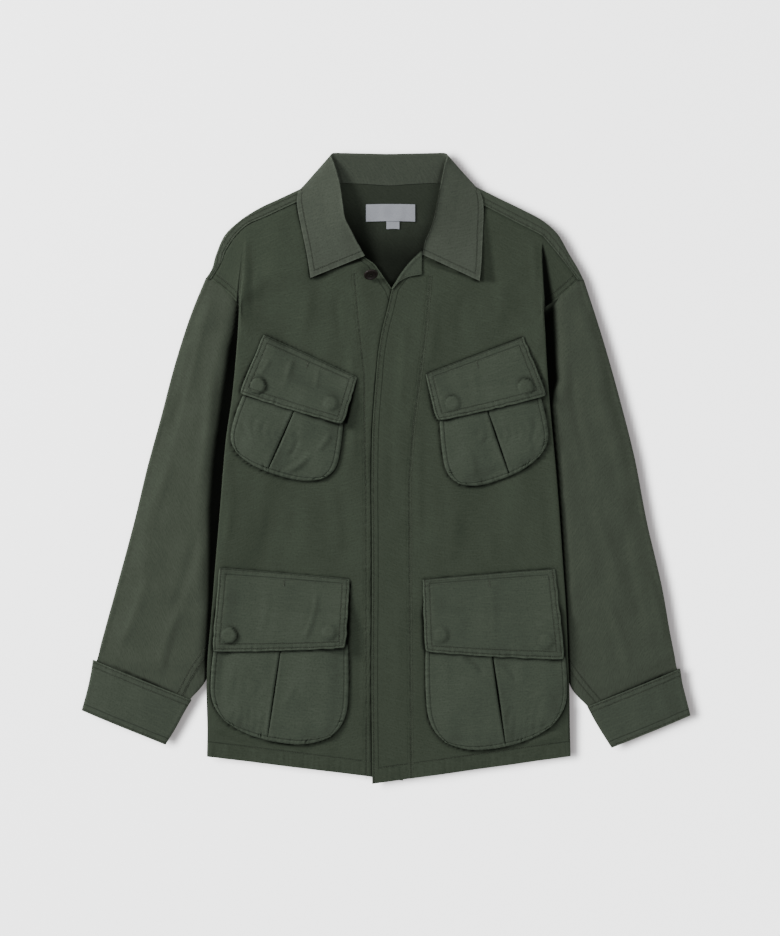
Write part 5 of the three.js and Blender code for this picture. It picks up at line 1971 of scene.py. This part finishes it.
@dataclass
class PocketFlap:
    """Pocket flap of two plies, edge stitched twice, with two buttons under it."""

    cut: PocketCut
    bump: float = 2.3
    bump_radius: float = 8.2
    step: float = 1.9
    rows: Pair = (2.6, 8.4)
    tack_end: float = 16.0

    def build(self, shop: Workshop) -> None:
        """Make the flap and lay it on the map.

        Args:
            shop: Finishes and heights.
        """
        cut = self.cut
        corners = np.array(cut.flap, dtype=float)
        width, height = (float(np.linalg.norm(corners[a] - corners[b])
                               + np.linalg.norm(corners[c] - corners[d])) / 2
                         for a, b, c, d in ((0, 1, 3, 2), (0, 3, 1, 2)))
        across, down = np.meshgrid(
            clustered(width, self.step, []), clustered(height, self.step, []))
        plane = quad_place(corners, across, down)
        seed = 61 + len(cut.name) + (7 if cut.side is Side.LEFT else 0)
        plane[..., 1] -= 1.6 * np.sin(across * math.pi) * (down - 0.2)
        inward = corners.mean(axis=0) - plane
        inward /= np.maximum(np.linalg.norm(inward, axis=2, keepdims=True), 1)
        side = np.minimum(across, 1 - across) * width
        end = (1 - down) * height
        nearness = np.exp(-side / 5) * np.exp(-end / 5)
        uneven = 0.45 * wave(down * height + across * width, seed, 23)
        uneven = uneven * np.exp(-np.minimum(side, end) / 8)
        plane += inward * (2.2 * nearness + uneven)[..., None]
        x, y = plane[..., 0], plane[..., 1]
        near = shop.heights.read(x, y, shop.heights.draped(0, 5))
        bridged = shop.heights.read(x, y, shop.heights.draped(3, 26))
        base = lerp(near, np.maximum(bridged, near), ease(down * height / 14))
        lift = cut.lift_left * (1 - across) ** 6 + cut.lift_right * across ** 6
        lift = (lift + 0.7) * ease(down * 1.6)
        inset = np.minimum(np.minimum(side, end), down * height + 2)
        rounding = -0.7 * (1 - np.sqrt(np.clip(inset / 1.3, 0, 1)))
        run = np.where(side < end, down * height, across * width)
        gather = 0.55 * wave(run, seed, 5.4) * np.exp(-(((inset - 3.5) / 4.2) ** 2))
        groove = -0.4 * np.exp(-((inset - 2.6) / 0.8) ** 2)
        groove = groove - 0.4 * np.exp(-((inset - 8.4) / 0.9) ** 2)
        bumps = np.zeros_like(x)
        for button_x, button_y in cut.buttons:
            far = np.hypot(x - button_x, y - button_y)
            raised = self.bump * (1 - ease((far - self.bump_radius * 0.62) / 6.5))
            bumps = np.maximum(bumps, raised)
        soft = ripple(x, y, seed, 0.5) + crease_height(x, y, cut.flap_creases)
        soft = soft * ease((inset - 3) / 8)
        z = base + FLAP_CLOTH / 2 + LIE_GAP + lift + rounding + gather + groove + bumps + soft
        for number in range(2):
            low, high = node_box(f"flap_button_{POCKETS.index(cut) * 2 + number + 1}")
            far = np.hypot(x - (low[0] + high[0]) / 2, y - (low[1] + high[1]) / 2)
            cover = np.maximum(high[2] + FLAP_CLOTH / 2 + 0.3 - z, 0)
            z += cover * (1 - ease((far - (high[0] - low[0]) / 2 - 0.1) / 1.8))
        points = np.stack([x, y, z], axis=-1)
        grain = np.stack([across * width, down * height], axis=-1)
        hem = np.stack([side, np.minimum(1 - down, down + 0.02) * height], axis=-1)
        name = f"{cut.name}_flap_{cut.side.value}"
        sheet = ClothSheet(f"dressed_{name}", points, FLAP_CLOTH, grain, hem)
        bag = f"dressed_{cut.name}_bag_{cut.side.value}"
        flat = (round(width * MM, 3), round(height * MM, 3))
        area = round(width * height * MM * MM, 4)
        shop.keep(Job(sheet, "flap", name, "jacket_cloth", flat, area, [bag]))
        for offset in self.rows:
            for edge in ("first_column", "last_column", "last_row"):
                low = 0.02 if edge.endswith("column") else offset / width
                high = 1 - offset / (height if edge.endswith("column") else width)
                shop.sew(points, grain, edge, offset, FLAP_CLOTH, (low, high))
        for offset in self.rows:
            shop.sew(points, grain, "first_row", offset, FLAP_CLOTH, (0.02, 0.98))
        ends = np.array([self.rows[1], self.tack_end]) / height
        tack = quad_place(corners, np.full(2, 0.5), ends)
        line = lerp(tack[0], tack[1], np.linspace(0, 1, 12)[:, None])
        for shift in (-0.5, 0.0, 0.5):
            shop.stitch(line[:, 0] + shift, line[:, 1], 0.3)


@dataclass
class TurnedCorner:
    """Top corner of the left front, turned back over itself beside the collar."""

    roll: tuple[Pair, ...] = (
        (7.4, 227.8), (14.5, 240.5), (22.9, 253), (45.7, 277.5))
    edge: tuple[Pair, ...] = (
        (8.6, 227.0), (15.5, 235.2), (24.5, 241), (45.2, 246))
    rows: int = 60
    columns: int = 26

    def build(self, shop: Workshop) -> None:
        """Make the turned corner and lay it on the map.

        Args:
            shop: Finishes and heights.
        """
        along = np.linspace(0, 1, self.rows)
        curves = []
        for line in (self.roll, self.edge):
            places = np.array(line)
            run = chord_knots(places)
            curves.append(smooth_rows(places, run / run[-1], along))
        share = np.linspace(0, 1, self.columns)
        plane = lerp(curves[0][:, None], curves[1][:, None], share[None, :, None])
        width = np.linalg.norm(curves[0] - curves[1], axis=1)[:, None]
        from_roll = share[None, :] * width
        x, y = plane[..., 0], plane[..., 1]
        base = shop.heights.read(x, y, shop.heights.draped(1, 3))
        bulge = 1.5 * np.exp(-(((from_roll - 2.5) / 3.5) ** 2)) * ease(width / 12)
        z = base + CLOTH / 2 + 0.35 + bulge - 1.6 * np.exp(-from_roll / 0.7)
        z += 0.3 * np.sin(along[:, None] * 9.0) * ease(width / 12) * share[None, :]
        points = np.stack([x, y, z], axis=-1)
        grain = plane_uv(points)
        hem = np.full(grain.shape, FAR)
        sheet = ClothSheet("dressed_turned_corner", points, CLOTH, grain, hem)
        shop.keep(Job(sheet, "flap", "", "jacket_cloth", (0.034, 0.066), 0.0011,
                      ["dressed_front_left"]))
        shop.sew(points, grain, "last_column", 3.0, CLOTH, (0.2, 1.0))


@dataclass
class NeckButton:
    """Four-hole button at the neck, standing half on edge in its hole."""

    profile: tuple[Pair, ...] = (
        (0.05, 0.55), (3.4, 0.55), (5.2, 0.6), (6.3, 1.25), (7.4, 1.5), (8.3, 1.3), (8.8, 0.7),
        (8.9, 0.0), (8.7, -0.8), (7.9, -1.3), (5.0, -1.4), (0.05, -1.4))
    rings: int = 60
    sides: int = 96
    tilt: float = 52.0
    turn: float = 12.0
    shift: Triple = (0.4, 2.8, 0.3)

    def build(self, shop: Workshop) -> None:
        """Make the button with its rim, dish, holes and thread.

        Args:
            shop: Finishes and heights.
        """
        low, high = node_box("neck_button")
        centre = (low + high) / 2 + np.array(self.shift)
        profile = np.array(self.profile)
        angles = np.linspace(0, math.tau, self.sides, endpoint=False)
        fine = even_rows(profile, chord_knots(profile), self.rings)
        ring = np.stack([np.cos(angles), np.sin(angles)], 1)
        body = np.concatenate([
            fine[:, None, :1] * ring[None], np.repeat(fine[:, None, 1:], self.sides, 1)], axis=2)
        face = body[:self.rings // 2]
        for quarter in range(4):
            angle = math.pi / 4 + quarter * math.pi / 2
            hole = np.array([math.cos(angle), math.sin(angle)]) * 1.75
            far = np.linalg.norm(face[..., :2] - hole, axis=2)
            face[..., 2] -= 1.5 * (1 - ease((far - 0.55) / 0.5))
        vertices = self.place(body.reshape(-1, 3), centre) * MM
        index = np.arange(self.rings * self.sides).reshape(self.rings, self.sides)
        index = np.concatenate([index, index[:, :1]], axis=1)
        quads = ClothSheet.layer_quads(index)
        caps = [index[0, :-1].tolist(), index[-1, -2::-1].tolist()]
        if signed_volume(vertices, quads) < 0:
            quads = quads[:, ::-1]
            caps = [cap[::-1] for cap in caps]
        obj = mesh_object("dressed_neck_button", vertices, quads, shop.finishes["button"])
        finish_caps(obj, caps)
        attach(obj, ROOT)
        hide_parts("neck_button")
        for start, end in (((-1.24, -1.24), (1.24, 1.24)), ((-1.24, 1.24), (1.24, -1.24))):
            share = np.linspace(0, 1, 9)
            line = lerp(np.array(start), np.array(end), share[:, None])
            height = 0.75 + 0.35 * np.sin(share * math.pi)
            shop.seams.append(self.place(np.concatenate([line, height[:, None]], axis=1), centre))

    def place(self, points: Array, centre: Array) -> Array:
        """Tilt and turn points of the button and move them to its centre.

        Args:
            points: Places on the flat button.
            centre: Where its middle goes.

        Returns:
            The moved places.
        """
        lean, spin = math.radians(self.tilt), math.radians(self.turn)
        x, y, z = points.T
        y, z = y * math.cos(lean) - z * math.sin(lean), y * math.sin(lean) + z * math.cos(lean)
        x, y = x * math.cos(spin) - y * math.sin(spin), x * math.sin(spin) + y * math.cos(spin)
        return np.stack([x, y, z], axis=1) + centre


def finish_caps(obj: Object, caps: list[list[int]]) -> None:
    """Close the open rings of a turned mesh.

    Args:
        obj: The mesh object.
        caps: Vertex numbers of each ring.
    """
    mesh = bmesh.new()
    mesh.from_mesh(obj.data)
    mesh.verts.ensure_lookup_table()
    for cap in caps:
        face = mesh.faces.new([mesh.verts[number] for number in cap])
        face.smooth = True
    bmesh.ops.recalc_face_normals(mesh, faces=mesh.faces)
    mesh.to_mesh(obj.data)
    mesh.free()


@dataclass
class Label:
    """Bare woven label on the inside of the yoke."""

    node: str
    left: float
    right: float
    top: float
    bottom: float

    def build(self, shop: Workshop) -> None:
        """Make the label on the yoke.

        Args:
            shop: Finishes and heights.
        """
        across, down = np.meshgrid(np.linspace(0, 1, 48), np.linspace(0, 1, 26))
        x = lerp(self.left, self.right, across)
        y = lerp(self.top, self.bottom, down) + 0.5 * np.sin(across * math.pi)
        base = shop.heights.read(x, y, shop.heights.draped(1, 8))
        width, height = self.right - self.left, self.top - self.bottom
        inset = np.minimum(
            np.minimum(across, 1 - across) * width, np.minimum(down, 1 - down) * height)
        z = base + LABEL_CLOTH / 2 + 0.15 + 0.25 * wave(across * width, 8, 17) * ease(inset / 4)
        points = np.stack([x, y, z], axis=-1)
        grain = np.stack([across * width, down * height], axis=-1)
        hem = np.full(grain.shape, FAR)
        sheet = ClothSheet(f"dressed_{self.node}", points, LABEL_CLOTH, grain, hem)
        shop.keep(Job(sheet, "label", self.node, "label_cloth", (width * MM, height * MM),
                      width * height * MM * MM, ["dressed_back_yoke"]))


@dataclass
class Thread:
    """Sewing thread: every stitch of the jacket as a small pointed lozenge."""

    length: float = 2.0
    half_width: float = 0.182
    cover: float = 0.9
    darkest: float = 0.3

    def build(self, shop: Workshop) -> Object:
        """Make all kept stitch lines as one joined mesh.

        Args:
            shop: Finishes and heights.

        Returns:
            The thread's object.
        """
        middles, directions = [], []
        for line in shop.seams:
            run = chord_knots(line)
            stops = np.arange(STITCH_PITCH / 2, run[-1], STITCH_PITCH)
            place = read_line(line, run, stops)
            step = read_line(line, run, stops + 0.5) - place
            middles.append(place)
            directions.append(step / np.maximum(np.linalg.norm(step, axis=1, keepdims=True), 1e-6))
        middle, ahead = np.concatenate(middles), np.concatenate(directions)
        seen = shop.heights.read(middle[:, 0], middle[:, 1]) < middle[:, 2] + self.cover
        for side in Side:
            far = fold_distance(side, middle[:, 0], middle[:, 1])[0]
            seen &= (far < 0) | (fold_gloom(side, middle[:, 0], middle[:, 1]) < self.darkest)
        middle, ahead = middle[seen], ahead[seen]
        across = np.cross(ahead, np.array([0.0, 0.0, 1.0]))
        across /= np.maximum(np.linalg.norm(across, axis=1, keepdims=True), 1e-6)
        up = np.cross(across, ahead)
        half = self.length / 2
        rings = []
        for reach in (-half, half):
            for side, lift in ((-1, 0), (0, 1), (1, 0), (0, -1)):
                offset = across * (side * self.half_width) + up * (lift * self.half_width)
                rings.append(middle + ahead * reach + offset)
        vertices = np.stack(rings, axis=1).reshape(-1, 3) * MM
        faces = [(3, 2, 1, 0), (4, 5, 6, 7)]
        faces += [(side, (side + 1) % 4, (side + 1) % 4 + 4, side + 4) for side in range(4)]
        starts = (np.arange(len(middle)) * 8)[:, None, None]
        quads = (np.array(faces)[None] + starts).reshape(-1, 4)
        if signed_volume(vertices, quads) < 0:
            quads = quads[:, ::-1]
        obj = mesh_object("sewing_thread", vertices, quads, shop.finishes["thread"])
        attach(obj, ROOT)
        log.info("sewing_thread: %d stitches", len(middle))
        return obj


@dataclass(frozen=True)
class PlainFinish:
    """Simple finish with fine noise in colour and height: label, thread or button."""

    name: str
    base: Triple
    other: Triple
    roughness: float
    grain_scale: float
    bump: float
    specular: float

    def material(self) -> Material:
        """Build the material.

        Returns:
            The material.
        """
        material, sheet = new_material(self.name)
        place = sheet.add("ShaderNodeTexCoord").outputs["Object"]
        grain = sheet.noise(place, self.grain_scale, 3.0)
        sheet.shade({
            "Base Color": sheet.mix(grain, (*self.base, 1), (*self.other, 1)),
            "Roughness": sheet.math("MULTIPLY_ADD", grain, 0.15, self.roughness),
            "Specular IOR Level": self.specular, "Normal": sheet.bump(grain, self.bump)})
        return material


@dataclass
class Studio:
    """Pale surface, soft light from the upper left and the camera straight above."""

    view_x: float = 5.08
    frame_height: float = 1188.7
    lens: float = 85.0
    sensor: float = 36.0
    shadow_shift: Pair = (14.0, -1.5)
    shadow_blur: int = 9
    tile: float = 4.0
    near: float = 450.0
    far: tuple[float, ...] = (900.0, 6000.0)
    jacket_height: float = 9.0

    def build(self) -> None:
        """Make the lights and camera."""
        self.area_light("key", (-2.1, 1.1, 1.1), 0.6, 77.0)
        self.area_light("fill", (1.2, -0.9, 2.2), 1.6, 26.0)
        world = bpy.data.worlds.new("studio")
        bpy.context.scene.world = world
        world.use_nodes = True
        background = world.node_tree.nodes["Background"]
        background.inputs[0].default_value = (0.95, 0.97, 1.0, 1)
        background.inputs[1].default_value = 0.48
        data = bpy.data.cameras.new("above")
        data.lens = self.lens
        data.sensor_fit = "VERTICAL"
        data.sensor_height = self.sensor
        data.sensor_width = self.sensor
        camera = bpy.data.objects.new("above", data)
        distance = self.frame_height * self.lens / self.sensor
        camera.location = (self.view_x * MM, 0.0, (distance + self.jacket_height) * MM)
        bpy.context.scene.collection.objects.link(camera)
        bpy.context.scene.camera = camera

    def surface(self, heights: HeightMap) -> None:
        """Make the pale surface, with the jacket's soft shadow in its tone.

        Args:
            heights: Everything that lies on it.
        """
        cast = (heights.heights > 0.5).astype(float)
        shift_x, shift_y = (round(step / heights.cell) for step in self.shadow_shift)
        cast = np.roll(cast, (shift_y, shift_x), (0, 1))
        for _ in range(self.shadow_blur):
            for axis in (0, 1):
                cast = (np.roll(cast, 1, axis) + np.roll(cast, -1, axis) + 2 * cast) / 4
        fine = np.arange(-self.near, self.near + 1, self.tile)
        step = np.concatenate([-np.array(self.far[::-1]), fine, self.far])
        x, y = np.meshgrid(step, step)
        inside = (np.abs(x) < 415) & (np.abs(y) < 425)
        shade = np.where(inside, heights.read(x, y, cast), 0.0)
        index = np.arange(x.size).reshape(x.shape)
        vertices = np.stack([x, y, np.zeros_like(x)], axis=-1).reshape(-1, 3) * MM
        obj = mesh_object("surface", vertices, ClothSheet.layer_quads(index), self.surface_finish())
        layer = obj.data.attributes.new("Shadow", "FLOAT", "POINT")
        layer.data.foreach_set("value", shade.ravel().astype(np.float32))

    @staticmethod
    def surface_finish() -> Material:
        """Build the bright paper finish that dims where the shadow falls.

        Returns:
            The material.
        """
        material, sheet = new_material("pale_surface")
        shadow = sheet.add("ShaderNodeAttribute", attribute_name="Shadow").outputs["Fac"]
        shade = sheet.times(shadow, 0.98, clamp=True)
        sheet.shade({
            "Base Color": sheet.mix(shade, (0.9, 0.9, 0.9, 1), (0.3, 0.285, 0.285, 1)),
            "Emission Color": sheet.mix(shade, (1, 1, 1, 1), (0.05, 0.045, 0.045, 1)),
            "Emission Strength": 2.4, "Roughness": 0.8, "Specular IOR Level": 0.1})
        return material

    @staticmethod
    def area_light(name: str, place: Triple, size: float, power: float) -> None:
        """Make a square area light that faces the jacket.

        Args:
            name: Light name.
            place: Place in metres.
            size: Side in metres.
            power: Watts.
        """
        data = bpy.data.lights.new(name, "AREA")
        data.shape = "SQUARE"
        data.size = size
        data.energy = power
        light = bpy.data.objects.new(name, data)
        light.location = place
        x, y, z = place
        light.rotation_euler = (math.atan2(math.hypot(x, y), z), 0.0, math.atan2(x, -y))
        bpy.context.scene.collection.objects.link(light)


def make_finishes(effects: ClothEffects) -> dict[str, Material]:
    """Build every finish of the jacket.

    Args:
        effects: Shared node groups.

    Returns:
        Materials by the name of the piece they dress.
    """
    cloths = {
        "body": ClothFinish("poplin_body", (0.0425, 0.0530, 0.0370)),
        "yoke": ClothFinish("poplin_yoke", (0.052, 0.063, 0.046)),
        "sleeve": ClothFinish("poplin_sleeve", (0.0510, 0.0610, 0.0445),
                              stitch_rows=(0.040, 0.0465)),
        "cuff": ClothFinish("poplin_cuff", (0.0510, 0.0620, 0.0455)),
        "collar": ClothFinish("poplin_collar", (0.0600, 0.0700, 0.0535), fading=0.6,
                              stitch_rows=(0.0068, 0.5)),
        "bag": ClothFinish("poplin_bag", (0.0520, 0.0640, 0.0465), fading=0.6,
                           stitch_rows=(0.0048, 0.5)),
        "flap": ClothFinish("poplin_flap", (0.0505, 0.0620, 0.0450), fading=0.7),
    }
    finishes = {key: finish.material(effects) for key, finish in cloths.items()}
    plain = {
        "label": PlainFinish("label_weave", (0.235, 0.245, 0.27), (0.35, 0.36, 0.385),
                             0.8, 900.0, 0.0002, 0.2),
        "thread": PlainFinish("olive_thread", (0.045, 0.052, 0.036), (0.08, 0.09, 0.065),
                              0.6, 2000.0, 0.0001, 0.3),
        "button": PlainFinish("brown_button", (0.008, 0.005, 0.004), (0.015, 0.010, 0.008),
                              0.42, 300.0, 0.0001, 0.28),
    }
    finishes.update({key: finish.material() for key, finish in plain.items()})
    return finishes


def dress_buttons(finishes: dict[str, Material]) -> None:
    """Give every button node its finish.

    Args:
        finishes: Materials by name.
    """
    for name in [f"flap_button_{number}" for number in range(1, 9)]:
        obj = bpy.data.objects[name]
        obj.data.materials.clear()
        obj.data.materials.append(finishes["button"])


def sew_sleeve_seams(shop: Workshop) -> None:
    """Keep the double row of the felled seam that shows low on each sleeve.

    Args:
        shop: Finishes and heights.
    """
    for (x0, y0), (x1, y1) in SLEEVE_SEAMS.values():
        reach = math.hypot(x1 - x0, y1 - y0)
        across = np.array([y0 - y1, x1 - x0]) / reach
        share = np.linspace(0, 1, 50)
        for shift in (0.0, 6.5):
            bow = shift + SLEEVE_SEAM_BOW * np.sin(share * math.pi)
            shop.stitch(
                lerp(x0, x1, share) + across[0] * bow, lerp(y0, y1, share) + across[1] * bow)


def main() -> None:
    """Build the jacket piece by piece, from the surface up, and report each piece."""
    logging.basicConfig(level=logging.INFO, format="%(name)s %(message)s")
    studio = Studio()
    studio.build()
    shop = Workshop(HeightMap(), make_finishes(ClothEffects()))
    dress_buttons(shop.finishes)
    BackPanel().build(shop)
    Yoke().build(shop)
    for side in Side:
        name = side.value
        Tube(f"sleeve_{name}", side, SLEEVE_ROWS[side], "sleeve", SLEEVE_CREASES[side], 180,
             (0.40, 0.56), 0.155, (False, False), [], tuck=6.0, across=84).build(shop)
        Tube(f"cuff_{name}", side, CUFF_ROWS[side], "cuff", [], 40,
             (0.27, 0.07), 0.0175, (True, True),
             [("first_row", 2.5), ("first_row", 8.5), ("last_row", 3.0)],
             cloth=1.6, raised=0.9).build(shop)
    sew_sleeve_seams(shop)
    for side in Side:
        Front(side).build(shop)
    TurnedCorner().build(shop)
    Label("size_tag", 0.5, 17, 315.5, 304).build(shop)
    Label("neck_label", -25.5, 37, 335.3, 313.6).build(shop)
    for cut in POCKETS:
        PocketBag(cut).build(shop)
        PocketFlap(cut).build(shop)
    Collar().build(shop)
    NeckButton().build(shop)
    shop.assemble()
    Thread().build(shop)
    studio.surface(shop.heights)


if __name__ == "__main__":
    main()
